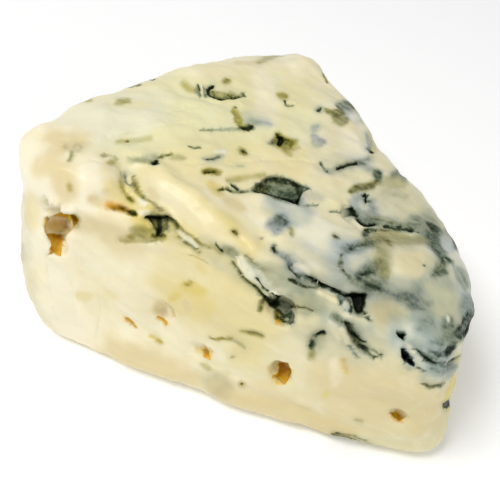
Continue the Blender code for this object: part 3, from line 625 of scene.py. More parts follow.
    "ring, light line": lump(1.0, (372, 235), (392, 234), (412, 236), clear=0.9, strength=0.05),
    "ring, top arc": olive(4.6, (368, 241), (382, 237), (396, 238), (410, 241), (424, 240), strength=0.1,
                           fade=6, halo=0.2, blue=0.4, olive=0.9),
    "ring, drip": olive(1.2, (388, 241), (390, 245), strength=0.25),
    "ring, left dark": green(3.6, (344, 251), (354, 248), (364, 245), (371, 246), strength=0.15, fade=5,
                             halo=0.25, blue=0.6, grain=0.6, olive=0.1),
    "ring, left core": line(1.0, (350, 249), (358, 246), (366, 244), strength=0.4, fade=2),
    "ring, left line": line(0.7, (341, 256), (341, 264), (345, 272), (352, 281), strength=0.5, fade=2),
    "ring, white patch": lump(5.0, (354, 259), (358, 264), (362, 262), strength=0.05, clear=0.4, fade=5),
    "ring, dark left blob": green(4.4, (361, 275), (368, 270), (374, 268), strength=0.05, fade=5,
                                  halo=0.35, dip=0.3, blue=0.6, grain=0.5, olive=0.1),
    "ring, dark low blob": green(4.4, (360, 280), (368, 284), (376, 286), strength=0.25, fade=5, halo=0.3,
                                 reach=7, blue=0.5, grain=0.5),
    "ring, blob's cores": black(1.3, (364, 274), (370, 271), (375, 272), strength=0.45, fade=3),
    "ring, blob's low core": black(1.2, (366, 283), (374, 285), (380, 288), strength=0.45, fade=3),
    "ring, blob's gap": lump(1.2, (362, 277), (369, 278), clear=0.2, strength=0.05),
    "ring, olive side": olive(5.0, (380, 246), (383, 256), (385, 268), strength=0.2, fade=11, grain=0.0,
                              blue=0.3, olive=0.9),
    "ring, olive dark": olive(2.5, (379, 262), (383, 270), (386, 276), strength=0.15, fade=6, grain=0.0,
                              blue=0.2, olive=0.9),
    "ring, right upper": green(5.6, (430, 238), (436, 246), (442, 255), strength=0.15, fade=5, halo=0.3,
                               blue=0.6, grain=0.5, olive=0.1),
    "ring, right upper core": line(1.0, (430, 242), (435, 250), (440, 256), strength=0.4, fade=2.5),
    "ring, white right": lump(5.0, (444, 238), (447, 245), (450, 249), strength=0.3, clear=0.8),
    "ring, right lavender": haze(6.0, (442, 236), (449, 247), strength=0.25, blue=1.0),
    "ring, right knot": olive(5.4, (438, 269), (442, 264), (446, 262), strength=0.3, fade=5, halo=0.25,
                              olive=0.3, grain=0.7, blue=0.2),
    "ring, knot's line": line(0.8, (437, 271), (441, 264), (445, 257), (451, 262), strength=0.45, fade=2),
    "ring, knot's right line": line(0.8, (446, 256), (451, 260), (454, 266), strength=0.45, fade=2),
    "ring, knot's foot": green(2.0, (434, 275), (440, 273), (446, 272), strength=0.4, blue=0.3),
    "ring, cream patch": lump(11.0, (400, 258), (410, 266), (418, 259), strength=0.2, clear=0.9, fade=7,
                              dip=-0.15),
    "ring, patch's tan": tint("tan", 9.0, (402, 260), (412, 266), (418, 260), strength=0.4, fade=12),
    "ring, speck": line(0.6, (424, 265), (425, 265), strength=0.7),
    "ring, lavender foot": haze(6.0, (386, 285), (402, 285), (418, 286), strength=0.15, blue=1.0),
    "ring, teal streak": green(3.2, (394, 295), (405, 299), (417, 298), strength=0.1, blue=1.0, halo=0.3,
                               reach=7, olive=0.1),
    "ring, streak's core": green(1.4, (399, 297), (408, 299), strength=0.25, blue=0.7),
    "ring, low teal": grey(4.0, (408, 308), (418, 307), (430, 303), strength=0.2, blue=0.6),
    "right edge, rim": tint("yellow", 1.0, (446, 224), (453, 236), (459, 250), strength=0.9, fade=2),
    "right edge, rim's line": line(0.5, (443, 222), (450, 234), (457, 249), strength=0.45, fade=1.6),
    "right edge, blotch": grey(3.5, (458, 270), (463, 278), (466, 288), strength=0.25, olive=0.4,
                               blue=0.2),

    # Right shoulder
    "shoulder, edge haze": grey(7.0, (468, 300), (470, 318), (464, 334), strength=0.3, fade=9, blue=0.5,
                                olive=0.2),
    "shoulder, teal": green(5.0, (470, 316), (466, 327), (460, 335), strength=0.45, fade=5, blue=0.6,
                            dip=0.2),
    "shoulder, teal line": black(1.2, (473, 318), (469, 328), (462, 337), strength=0.7, blue=0.6),
    "shoulder, second line": line(1.0, (466, 316), (461, 326), (456, 333), strength=0.6, blue=0.6),
    "shoulder, dark": black(2.6, (455, 343), (450, 349), (446, 352), strength=0.8, blue=0.3, dip=0.4,
                            grain=0.5, fade=2.4),
    "shoulder, low fold": line(0.9, (460, 356), (455, 359), (450, 362), strength=0.7, blue=0.3, dip=0.3),
    "shoulder, streak": black(1.2, (413, 350), (420, 355), (426, 359.5), (431, 363), (436, 365),
                              strength=0.85, dip=0.5, lip=0.3, toward=(0, -1), grain=0.4),
    "shoulder, streak's field": green(3.0, (424, 353), (432, 357), (442, 360), strength=0.35, fade=5,
                                      blue=0.3, grain=0.5),
    "shoulder, field's dark": black(1.2, (431, 358), (436, 359), strength=0.6, fade=2.4),
    "shoulder, streak's end": green(3.0, (430, 362), (440, 365), (450, 364), strength=0.1, blue=0.6,
                                    dip=0.3, olive=0.1),
    "shoulder, upper streak": green(2.0, (428, 354), (438, 354), (448, 352), blue=0.5, olive=0.1),
    "shoulder, folds": grey(5.0, (430, 346), (442, 342), (452, 336), strength=0.25, blue=0.4),
    "shoulder, pale fold": lump(1.4, (424, 350), (434, 358), (446, 360), strength=0.05, clear=0.5),
    "shoulder, field": haze(10.0, (418, 340), (430, 336), (442, 332), strength=0.15, blue=0.1),
    "shoulder, speckle": green(2.6, (446, 325), (449, 321), (452, 326), strength=0.3, halo=0.25,
                               blue=0.6),
    # Painted highlight: a small white glint on the shoulder
    "shoulder, painted glint": lump(0.3, (448, 318), (449, 321), strength=0.5),
    "shoulder, thin line": grey(1.2, (405, 366), (410, 370), strength=0.1, blue=0.8, fade=3, olive=0.0),
    "shoulder, lower haze": haze(5.0, (425, 376), (438, 374), (452, 368), strength=0.25, blue=0.1),
    "shoulder, lower line": grey(1.0, (430, 368), (442, 372), (456, 366), strength=0.15, fade=2,
                                 blue=0.4),
    "shoulder, green streak": line(1.6, (422, 384), (431, 386), (438, 385), (444, 383.3), strength=0.55,
                                   fade=1.8, dip=0.2, olive=0.6),
    "shoulder, pale above streak": lump(2.0, (428, 380), (440, 379), strength=0.05, clear=0.4),
    "shoulder, rind": tint("yellow", 0.0, (442, 408), (447, 392), (453, 376), (462, 376), (458, 400),
                           (450, 412), closed=True, strength=0.9, fade=1.2),
    "shoulder, rind's tan": tint("tan", 2.5, (450, 404), (456, 384), strength=0.7, fade=2),
    "rind, dark dash": black(0.0, (443, 403), (449.4, 400), (450.6, 405), (444, 409), closed=True,
                             dip=0.0, fade=0.8, olive=0.3),
    "right, black hole": black(0.0, (396.4, 332.6), (403, 332.6), (404, 335.6), (402.6, 339.4),
                               (398.6, 336.6), closed=True, dip=0.8, fade=1.0),
    "right, long hole": black(0.0, (401.4, 348.4), (405, 349), (408.5, 355.3), (411.5, 361.4), (413, 366),
                              (409.6, 364.6), (405.2, 358.6), (402.2, 353.4), closed=True, dip=1.1,
                              blue=0.8),
    "right, hole's tail": line(0.6, (416, 368), (421, 369.6), (425, 371.6), strength=0.5, olive=0.4),
    "right, dot": olive(1.2, (417, 328), (420, 329), strength=0.15, blue=0.8, olive=0.4),
    "right, pale by the holes": lump(2.0, (408, 346), (414, 352), strength=0.05, clear=0.7),

    # Pit under the ridge, and the marbling right of it
    "slope pit, haze": haze(7.0, (268, 302), (285, 312), strength=0.1, blue=0.9),
    "slope pit, field": green(0.0, (264.5, 295.5), (269.7, 297.8), (278.7, 299), (287.7, 301.6),
                              (292, 308), (293, 317), (290.4, 324), (284, 321.5), (281, 313),
                              (273.3, 306), (267, 302), closed=True, strength=0.7, dip=0.5, fade=2.0,
                              halo=0.0, blue=0.1, olive=0.1, grain=0.6),
    "slope pit, black top": black(1.5, (266.5, 298), (271, 301), (277, 302), strength=0.8, fade=2.4,
                                  grain=0.4),
    "slope pit, black left": olive(1.0, (265, 297), (262, 304), (260, 311), strength=0.6, fade=2.2,
                                   blue=0.3, olive=0.8),
    "slope pit, inner blue": grey(3.0, (287, 310), (290, 317), strength=0.05, blue=0.6),
    "slope pit, brown": olive(2.6, (277, 311), (279, 316), (280, 320), strength=0.55, fade=2.6, blue=0.1),
    "slope pit, amber foot": tint("amber", 2.6, (277, 321), (281, 322.5), strength=1.0, fade=1.8,
                                  clear=0.8),
    "slope pit, brown ring": olive(0.7, (276, 319), (280, 318), (284, 321), strength=0.35, blue=0.6),
    "slope pit, cream island": lump(4.0, (267, 308), (270, 314), strength=0.05, clear=0.9, dip=0.0),
    "slope pit, right line": line(0.8, (291, 306.5), (300, 308), (307, 309), (313, 311.5), strength=0.6,
                                  olive=0.7, dip=0.3, lip=0.3, toward=(0, -1)),
    "slope pit, outer dark": green(1.4, (291, 318), (293, 324), strength=0.15, blue=0.6),
    "marbling, haze": haze(8.0, (325, 320), (345, 332), (360, 345), strength=0.1, blue=0.6),
    "squiggle, haze": haze(6.0, (318, 336), (314, 350), strength=0.15, blue=0.6, olive=0.8),
    "squiggle, head": black(0.9, (317, 334), (320, 332.5), (324, 332.3), strength=0.85, olive=0.4,
                            fade=1.6),
    "squiggle, body": green(2.0, (317, 334), (313, 339), (312, 345), strength=0.35, fade=2.4, olive=0.3,
                            blue=0.6, grain=0.7),
    "squiggle, black": black(2.0, (312, 343), (311, 348), strength=0.7, fade=2.4, olive=0.3),
    "squiggle, foot": olive(1.6, (311, 351), (311, 357), strength=0.35, fade=4),
    "vein, head": green(2.6, (334, 316), (337, 318), (341, 321), strength=0.75, fade=2.6, halo=0.2,
                        dip=0.3, grain=0.7, blue=0.0),
    "vein, body": green(3.2, (347, 325), (351, 331), (355, 338), (361, 345), (366, 349), strength=0.3,
                        fade=3.0, halo=0.2, dip=0.3, olive=0.6, blue=0.6, grain=0.7),
    "vein, black": black(1.8, (345, 323), (349, 327), (352, 333), (355, 337), strength=0.8, olive=0.2,
                         dip=0.4, grain=0.5, fade=1.6),
    "vein, second black": black(0.8, (355, 336), (359, 339), (364, 342), strength=0.85, olive=0.3,
                                dip=0.4),
    "vein, third black": black(1.7, (359, 346), (363, 348), (367, 351), strength=0.75, olive=0.3,
                               grain=0.4),
    "vein, olive glow": olive(2.4, (355, 340), (359, 344), strength=0.2, fade=3, blue=0.4, grain=0.6),
    "vein, tail": line(0.9, (367, 351), (373, 357), (378, 357.5), (382, 354.5), strength=0.6, olive=0.5,
                       dip=0.3, lip=0.2, toward=(0, -1)),
    "vein, tail's other side": line(0.7, (368, 350), (374, 351), (381, 355), strength=0.5, olive=0.4),
    "vein, low branch": line(0.7, (348, 346), (353, 352), (358, 359), strength=0.45, fade=2, olive=0.2),
    "vein, upper branch": line(0.9, (362, 311), (366, 315), (371, 320), strength=0.7, olive=0.4),
    "vein, pale gap": lump(1.6, (341, 329), (345, 337), (348, 344), clear=0.6, strength=0.05),
    "marbling, white": lump(3.0, (330, 322), (336, 332), (338, 342), strength=0.05, clear=0.5),

    # The front cut side
    "front, yellow stain": tint("yellow", 5, (184, 286), (192, 288), (202, 292), strength=0.75, fade=6),
    "front, stain's foot": tint("yellow", 3, (172, 297), (178, 295), strength=0.7, fade=4),
    "front, stain's drop": tint("tan", 3, (185, 301), (188, 311), strength=0.7, fade=4),
    "front, stain's core": olive(1.0, (187, 285), (191, 283), strength=0.2, fade=3),
    "front, faint stain": tint("yellow", 3, (199, 267), (205, 273), strength=0.35, fade=4),
    "front, faint left stains": tint("yellow", 3.5, (78, 295), (90, 297), strength=0.45, fade=5),
    "front, faint stains": tint("yellow", 3.0, (104, 294), (116, 296), strength=0.25, fade=5),
    "front, tan hollow": tint("tan", 8, (158, 305), (163, 312), strength=0.75, fade=5, dip=0.5),
    "front, hollow's rim": tint("tan", 1.0, (166, 302), (171, 308), (175, 316), strength=0.8, fade=1.4,
                                lip=0.3, dip=0.2, toward=(-1, 0.3)),
    "front, hollow's amber": tint("amber", 1.4, (158, 317), (163, 320), (166, 325), strength=1.0,
                                  fade=1.8, dip=0.3),
    "front, slit": tint("amber", 1.1, (124, 319), (129, 321), (133, 325), (135, 328), strength=1.0,
                        fade=1.3, dip=0.4),
    "front, ochre slit": tint("yellow", 1.6, (150, 337), (156, 339), (161, 343), strength=0.95, fade=1.8,
                              dip=0.25),
    "front, slit's dark": olive(0.7, (157, 341), (161, 344), strength=0.15, blue=0.1),
    "front, grey line": grey(0.9, (212, 338), (222, 339), (232, 338), strength=0.4, fade=2, olive=1.0,
                             blue=0.0),
    "front, line's fork": grey(0.8, (230, 339), (238, 342), (245, 347), strength=0.25, fade=2, blue=0.1,
                               olive=0.3),
    "front, white lump": lump(4.0, (228, 345), (236, 348), strength=0.05, dip=-0.15),
    "front, olive dash": olive(1.5, (241, 332), (250, 333), (262, 336), strength=0.2, fade=2, dip=0.3),
    "front, dash's dark": olive(0.7, (250, 333), (257, 334), (262, 336), strength=0.15, blue=0.7,
                                olive=0.7),
    "front, notch's slope": tint("cream", 4.0, (192, 345), (200, 349), strength=0.15, dip=0.3),
    "front, amber notch": tint("amber", 0.0, (201, 347), (209, 348), (210, 359), (204, 356), closed=True,
                               strength=1.0, fade=2.4, dip=0.8),
    "front, notch's gold": tint("yellow", 1.5, (196, 350), (202, 352), strength=0.7, fade=4),
    "front, speck": olive(0.8, (232, 357), (233, 357), strength=0.2, fade=1.2, blue=0.2),
    "front, low speck": olive(0.9, (241, 384), (242, 384), strength=0.8, fade=1.2, halo=0.25),
    "front, spot's tail": olive(1.0, (203, 364), (209, 369), strength=0.1, fade=3),
    "orange hole, slope": tint("tan", 4.0, (270, 368), (274, 374), (273, 380), strength=0.7, fade=5,
                               dip=0.3),
    "orange hole, mouth": tint("amber", 0.0, (281, 362), (288, 363), (291, 370), (290, 377), (285, 384),
                               (277, 384), (272, 378), (279, 372), closed=True, strength=1.0, fade=1.2,
                               dip=1.3),
    "orange hole, gold": tint("yellow", 2.5, (275, 380), (282, 382), strength=0.7, fade=3),
    "front, orange tint": tint("amber", 1.6, (343, 360), (344, 367), (347, 373), strength=0.45, fade=4),
    "front, pale band": lump(4.0, (334, 362), (336, 374), (334, 384), strength=0.45, coat="cream", fade=6,
                             dip=-0.15),
    "front, cream band": tint("cream", 4.0, (300, 358), (302, 372), (300, 386), strength=0.15, fade=6),
    "front, ochre tick": tint("yellow", 2.0, (323, 396), (328, 392), strength=0.65, fade=2.5),
    "front, green dashes": olive(0.8, (355, 419), (362, 422), strength=0.1, fade=2),
    "right hole, mouth": tint("amber", 0.0, (390, 412), (397, 413), (404, 417), (400, 421), (394, 418),
                              closed=True, strength=1.0, fade=1.2, dip=0.9),
    "right hole, shade": olive(0.9, (391, 412), (396, 414), (400, 416), strength=0.1, fade=1.2, blue=0.6,
                               olive=0.4),
    "foot, crack": green(0.8, (333, 434), (349, 438.6), (364, 443.6), (381, 449), strength=0.6, olive=0.9,
                         fade=2),
    "foot, dark crack": line(0.8, (348, 440), (364, 445), (382, 449), strength=0.7, olive=0.4),
    "foot, upper crack": line(0.4, (336, 433), (352, 436), (366, 441), strength=0.35, olive=0.5),
    "front, fold by the tip": fold(2.0, (47, 266), (50, 290), (56, 316), dip=0.12, lip=0.12,
                                   toward=(1, 0)),
    "front, second fold": fold(2.0, (70, 275), (74, 300), (78, 326), dip=0.1, lip=0.1, toward=(-1, 0)),
    "front, third fold": fold(2.0, (98, 290), (100, 312), (96, 338), dip=0.1, lip=0.12, toward=(1, 0)),
    "front, low fold": fold(1.6, (190, 352), (225, 372), (262, 390), dip=0.12, lip=0.12,
                            toward=(0.3, -1)),
    "front, fold by the corner": fold(3.5, (404, 372), (412, 394), (428, 410), dip=0.1, lip=0.1,
                                      toward=(-1, 0.4)),
    "top, first fold": fold(1.6, (60, 140), (110, 138), (150, 128), (190, 122), dip=0.1, lip=0.12),
    "top, second fold": fold(1.4, (170, 112), (205, 104), (240, 104), dip=0.1, lip=0.1),
    "top, third fold": fold(1.4, (185, 164), (240, 162), (290, 160), (330, 166), dip=0.12, lip=0.12),
}


def wandering(draw, start, turn, length):
    """A route that starts at a point and bends a little at each of its three steps."""
    x, y = start
    route = [(x, y)]
    for _ in range(3):
        x += math.cos(turn) * length / 3
        y += math.sin(turn) * length / 3
        turn += draw.gauss(0.0, 0.4)
        route.append((x, y))
    return route


def unseen_marks(seed, middle, spread, slope, count):
    """Mould for a side that the picture doesn't show, of the kinds that grow on the seen sides."""
    draw = random.Random(seed)
    laid = []
    for _ in range(count // 3):
        start = (draw.gauss(middle[0], spread[0]), draw.gauss(middle[1], spread[1]))
        route = wandering(draw, start, slope, 40.0)
        laid.append(haze(draw.uniform(6.0, 14.0), *route, strength=draw.uniform(0.12, 0.3),
                         blue=draw.uniform(0.3, 0.8), fade=16.0))
    for _ in range(count):
        x, y = draw.gauss(middle[0], spread[0]), draw.gauss(middle[1], spread[1])
        route = wandering(draw, (x, y), slope + draw.gauss(0.0, 0.3), draw.uniform(8.0, 32.0))
        grown = draw.choice((green, green, olive, grey))
        laid.append(grown(draw.uniform(1.2, 3.6), *route, halo=0.2))
        if draw.random() < 0.6:
            laid.append(black(draw.uniform(0.7, 1.6), *route[:3], dip=0.5, lip=0.3, toward=(0.3, 1)))
        if draw.random() < 0.3:
            laid.append(lump(draw.uniform(1.5, 3.0), (x + 5, y - 4), (x + 10, y - 2)))
    for _ in range(count // 4):
        x, y = draw.uniform(120, 400), draw.uniform(190, 320)
        laid.append(olive(draw.uniform(0.8, 1.4), (x, y), (x + 2, y + 1), strength=0.7, fade=2.0))
    for _ in range(count // 6):
        x, y = draw.uniform(140, 380), draw.uniform(240, 320)
        laid.append(tint("amber", 2.5, (x, y), (x + 4, y + 5), strength=0.8, fade=2.0, dip=0.8))
    return laid


def rim_marks(seed, first, last, level):
    """Mould that runs over the rim from the top, in a band of picture points along that rim."""
    draw = random.Random(seed)
    laid = [haze(12.0, (first, level - 4), ((first + last) / 2, level - 8), (last, level - 4),
                 strength=0.26, fade=30.0)]
    x = first
    while x < last:
        top = level + draw.uniform(-16.0, 10.0)
        run = draw.uniform(8.0, 30.0)
        fall = draw.uniform(2.0, 14.0)
        route = [(x, top), (x + 0.5 * run, top + 0.7 * fall), (x + run, top + fall)]
        grown = draw.choice((green, grey, green, olive))
        laid.append(grown(draw.uniform(2.0, 6.5), *route, strength=draw.uniform(0.2, 0.6), fade=12.0,
                          halo=0.4))
        if draw.random() < 0.3:
            laid.append(black(draw.uniform(0.8, 1.8), *route[:2], strength=0.8, dip=0.4))
        x += draw.uniform(10.0, 30.0)
    return laid


BACK_MARKS = [
    tint("cream", 40, (140, 250), (220, 250), strength=0.3, fade=40),
    *rim_marks(seed=12, first=120, last=260, level=200),
    *unseen_marks(seed=5, middle=(265, 215), spread=(75, 34), slope=0.25, count=30),
]
RIND_MARKS = [
    tint("yellow", 150, (150, 250), (350, 250), strength=0.38, fade=60),
    tint("tan", 90, (150, 290), (350, 290), strength=0.3, fade=60),
    *rim_marks(seed=6, first=-15, last=330, level=250),
    *unseen_marks(seed=8, middle=(250, 250), spread=(90, 50), slope=0.1, count=18),
]
BASE_MARKS = unseen_marks(seed=3, middle=(270, 250), spread=(80, 70), slope=0.6, count=16)

# Where the paste's grain runs, for its streaks
GRAIN = (
    ((60, 130), (120, 110), (200, 84), (270, 70)),
    ((110, 150), (190, 130), (270, 120), (330, 130)),
    ((170, 175), (240, 165), (320, 160), (380, 165)),
    ((120, 190), (160, 210), (200, 240)),
    ((30, 180), (36, 240), (50, 300)),
    ((80, 250), (90, 300), (100, 340)),
    ((130, 250), (180, 290), (240, 320), (320, 360)),
    ((140, 330), (200, 360), (300, 400), (400, 430)),
    ((400, 380), (425, 400), (440, 425)),
    ((400, 320), (425, 345), (455, 335), (470, 310)),
    ((390, 200), (430, 220), (455, 255), (468, 290)),
)
# How wide a mark and a route of GRAIN turn the grain around them
MARK_SWAY = 14.0
GRAIN_SWAY = 26.0


# ---------------------------------------------------------------------------------------------
# Noise and grain
# ---------------------------------------------------------------------------------------------
def chance(x, y, z, seed):
    """A fixed number from -1 to 1 for each corner of a lattice."""
    mix = x * 374761393 + y * 668265263 + z * 1103515245 + seed * 974634777
    mix = (mix ^ (mix >> 13)) * 1274126177
    mix = mix & 0xFFFFFFFF
    return ((mix ^ (mix >> 16)) % 65536) / 32767.5 - 1.0


def lumps(points, size, seed):
    """Smooth noise from -1 to 1 with lumps of the given size."""
    turned = points @ np.array(((0.80, 0.36, -0.48), (-0.60, 0.48, -0.64), (0.0, 0.8, 0.6)))
    at = turned / size + 0.37 * seed
    cell = np.floor(at).astype(np.int64)
    share = at - cell
    share = share ** 3 * (share * (share * 6.0 - 15.0) + 10.0)
    total = np.zeros(len(points))
    for corner in product((0, 1), repeat=3):
        weight = np.ones(len(points))
        for axis in range(3):
            weight = weight * (share[:, axis] if corner[axis] else 1.0 - share[:, axis])
        total += weight * chance(*(cell[:, axis] + corner[axis] for axis in range(3)), seed)
    return total


def layered(points, *layers):
    """Lumps of some sizes, added up. A layer is its height, its size in millimetres and its seed."""
    return sum(height * lumps(points, size * MM, seed) for height, size, seed in layers)


def streaks(points, way, size, reach, seed):
    """Noise drawn out along the paste's grain, with its size and reach in millimetres."""
    steps = np.linspace(-reach * MM, reach * MM, 9)
    total = sum(lumps(points + way * step, size * MM, seed) for step in steps)
    return total / len(steps) * 2.2


def flow_map(marks):
    """The grain's direction, as cosine and sine of the double angle, on a coarse picture grid."""
    count = int(PICTURE / FLOW_CELL) + 2
    across, down = np.meshgrid(np.arange(count) * FLOW_CELL, np.arange(count) * FLOW_CELL)
    cosine = np.full(across.shape, 0.06)
    sine = np.full(across.shape, 0.02)
    routes = [(mark.route, MARK_SWAY) for mark in marks if not mark.closed and len(mark.route) > 1]
    routes += [(route, GRAIN_SWAY) for route in GRAIN]
    for route, sway in routes:
        stations = smooth_route(route, False, FLOW_CELL)
        for start, end in zip(stations, stations[1:]):
            side = end - start
            angle = 2.0 * math.atan2(side[1], side[0])
            middle = (start + end) / 2.0
            apart = (across - middle[0]) ** 2 + (down - middle[1]) ** 2
            weight = np.linalg.norm(side) * np.exp(-apart / (2.0 * sway * sway)) / sway
            cosine += weight * math.cos(angle)
            sine += weight * math.sin(angle)
    return cosine, sine


def flow_at(normals, flat, view, maps):
    """Directions in space that run along the grain on the skin."""
    at = np.clip(flat / FLOW_CELL, 0, maps[0].shape[0] - 1.01)
    column, row = np.floor(at).astype(int).T
    right, low = (at - np.floor(at)).T
    mixed = []
    for grid in maps:
        above = grid[row, column] * (1 - right) + grid[row, column + 1] * right
        below = grid[row + 1, column] * (1 - right) + grid[row + 1, column + 1] * right
        mixed.append(above * (1 - low) + below * low)
    angle = np.arctan2(mixed[1], mixed[0]) / 2.0
    way = np.cos(angle)[:, None] * view.axes[:, 0] - np.sin(angle)[:, None] * view.axes[:, 1]
    way = way - normals * (way * normals).sum(axis=1)[:, None]
    return way / (np.linalg.norm(way, axis=1)[:, None] + 1e-9)


# ---------------------------------------------------------------------------------------------
# Mesh
# ---------------------------------------------------------------------------------------------
def only(thing):
    """Leave one object selected and active."""
    bpy.ops.object.select_all(action="DESELECT")
    thing.select_set(True)
    bpy.context.view_layer.objects.active = thing


def apply(thing, modifier):
    only(thing)
    bpy.ops.object.modifier_apply(modifier=modifier.name)


def copy_of_solid(name):
    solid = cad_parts[NODE]
    twin = bpy.data.objects.new(name, solid.data.copy())
    bpy.context.scene.collection.objects.link(twin)
    twin.data.name = name
    twin.data.materials.clear()
    weld = twin.modifiers.new("weld", "WELD")
    weld.merge_threshold = WELD
    apply(twin, weld)
    return twin


def remesh(thing, cell, rounds):
    cells = thing.modifiers.new("cells", "REMESH")
    cells.mode = "VOXEL"
    cells.voxel_size = cell
    apply(thing, cells)
    ease = thing.modifiers.new("ease", "SMOOTH")
    ease.factor = 0.5
    ease.iterations = rounds
    apply(thing, ease)


def points_of(thing):
    flat = np.empty(len(thing.data.vertices) * 3)
    thing.data.vertices.foreach_get("co", flat)
    return flat.reshape(-1, 3)


def normals_of(thing):
    flat = np.empty(len(thing.data.vertices) * 3)
    thing.data.vertex_normals.foreach_get("vector", flat)
    return flat.reshape(-1, 3)


def set_points(thing, points):
    thing.data.vertices.foreach_set("co", np.ascontiguousarray(points, dtype=np.float32).ravel())
    thing.data.update()


def hug(thing, reference):
    wrap = thing.modifiers.new("hug", "SHRINKWRAP")
    wrap.target = reference
    wrap.wrap_method = "NEAREST_SURFACEPOINT"
    apply(thing, wrap)


def refine(skin, wanted=None):
    """Halve the edges whose both ends are wanted, if any, and leave only triangles."""
    grid = bmesh.new()
    grid.from_mesh(skin.data)
    grid.verts.ensure_lookup_table()
    if wanted is not None:
        edges = [edge for edge in grid.edges if all(wanted[end.index] for end in edge.verts)]
        bmesh.ops.subdivide_edges(grid, edges=edges, cuts=1)
    bmesh.ops.triangulate(grid, faces=list(grid.faces))
    grid.to_mesh(skin.data)
    grid.free()


# ---------------------------------------------------------------------------------------------
# Laying marks on the skin
# ---------------------------------------------------------------------------------------------
def smooth_route(route, closed, step=STATION):
    """The mark's points joined by a smooth curve, or by straight sides if it is closed."""
    stops = [np.array(stop, dtype=float) for stop in route]
    if closed:
        stops.append(stops[0])
    out = []
    for index in range(len(stops) - 1):
        start, end = stops[index], stops[index + 1]
        before = stops[max(index - 1, 0)]
        after = stops[min(index + 2, len(stops) - 1)]
        count = max(1, int(np.linalg.norm(end - start) / step))
        for part in range(count):
            t = part / count
            if closed:
                out.append(start + (end - start) * t)
            else:
                out.append(0.5 * (2 * start + (end - before) * t
                                  + (2 * before - 5 * start + 4 * end - after) * t ** 2
                                  + (3 * start - before - 3 * end + after) * t ** 3))
    out.append(stops[-1])
    return np.array(out)


def inside(places, outline):
    """True for picture points inside an outline."""
    odd = np.zeros(len(places), dtype=bool)
    for start, end in zip(outline, outline[1:]):
        rise = end[1] - start[1]
        if rise == 0:
            continue
        crosses = (start[1] > places[:, 1]) != (end[1] > places[:, 1])
        x = start[0] + (places[:, 1] - start[1]) * (end[0] - start[0]) / rise
        odd ^= crosses & (places[:, 0] < x)
    return odd


def hidden_by(points, view, tree):
    """How far skin points lie behind the first paste that the view meets."""
    first = np.empty(len(points))
    place = view.place
    for index, point in enumerate(points.tolist()):
        hit, _, _, gap = tree.ray_cast(place, Vector(point) - place)
        first[index] = gap if hit else FAR
    away = np.linalg.norm(points - np.array(place), axis=1)
    return away - first


class Laid:
    """A mark laid on the skin: stations along it with their depths from the view."""

    def __init__(self, mark, view, tree):
        self.mark = mark
        self.stations = smooth_route(mark.route, mark.closed)
        depths = []
        for station in self.stations:
            hit = tree.ray_cast(view.place, view.direction(station))[0]
            depths.append(view.flatten(np.array([hit]))[1][0] if hit else np.nan)
        depths = np.array(depths)
        seen = ~np.isnan(depths)
        self.sees = seen.any()
        if self.sees:
            order = np.arange(len(depths))
            self.depths = np.interp(order, order[seen], depths[seen])

    def near(self, flat, depth, behind, reach):
        """Indices of skin points near the mark, their distances from it, and their offsets."""
        low = self.stations.min(axis=0) - reach
        high = self.stations.max(axis=0) + reach
        chosen = np.nonzero((flat >= low).all(axis=1) & (flat <= high).all(axis=1))[0]
        places = flat[chosen]
        best = np.full(len(chosen), FAR)
        offset = np.zeros((len(chosen), 2))
        level = np.zeros(len(chosen))
        along = np.zeros(len(chosen))
        count = max(len(self.stations) - 1, 1)
        for index in range(len(self.stations) - 1):
            start, end = self.stations[index], self.stations[index + 1]
            side = end - start
            share = np.clip(((places - start) @ side) / max(side @ side, 1e-9), 0.0, 1.0)
            gap = places - start - share[:, None] * side
            distance = np.linalg.norm(gap, axis=1)
            closer = distance < best
            best[closer] = distance[closer]
            offset[closer] = gap[closer]
            level[closer] = self.depths[index]
            along[closer] = (index + share[closer]) / count
        if self.mark.closed:
            best = np.where(inside(places, self.stations), -best, best)
        else:
            taper = 0.2 + 0.8 * np.sqrt(np.sin(math.pi * np.clip(along, 0.02, 0.98)))
            best = best + self.mark.width * (1.0 - taper)
        slack = HOLLOW_SLACK if self.mark.closed else SEEN_SLACK
        on = ((behind[chosen] < slack) | (np.abs(depth[chosen] - level) < DEPTH_SLACK)) & (best < reach)
        return chosen[on], best[on], offset[on]


def lean(distance, offset, toward):
    """Distances stretched so that the mark fades slowly toward one side and fast on the other."""
    if toward is None:
        return distance
    way = np.array(toward, dtype=float)
    way /= np.linalg.norm(way)
    cosine = (offset @ way) / (np.linalg.norm(offset, axis=1) + 1e-6)
    stretch = np.where(cosine > 0, 1 - 0.45 * cosine, 1 - 1.2 * cosine)
    return np.where(distance > 0, distance * stretch, distance)


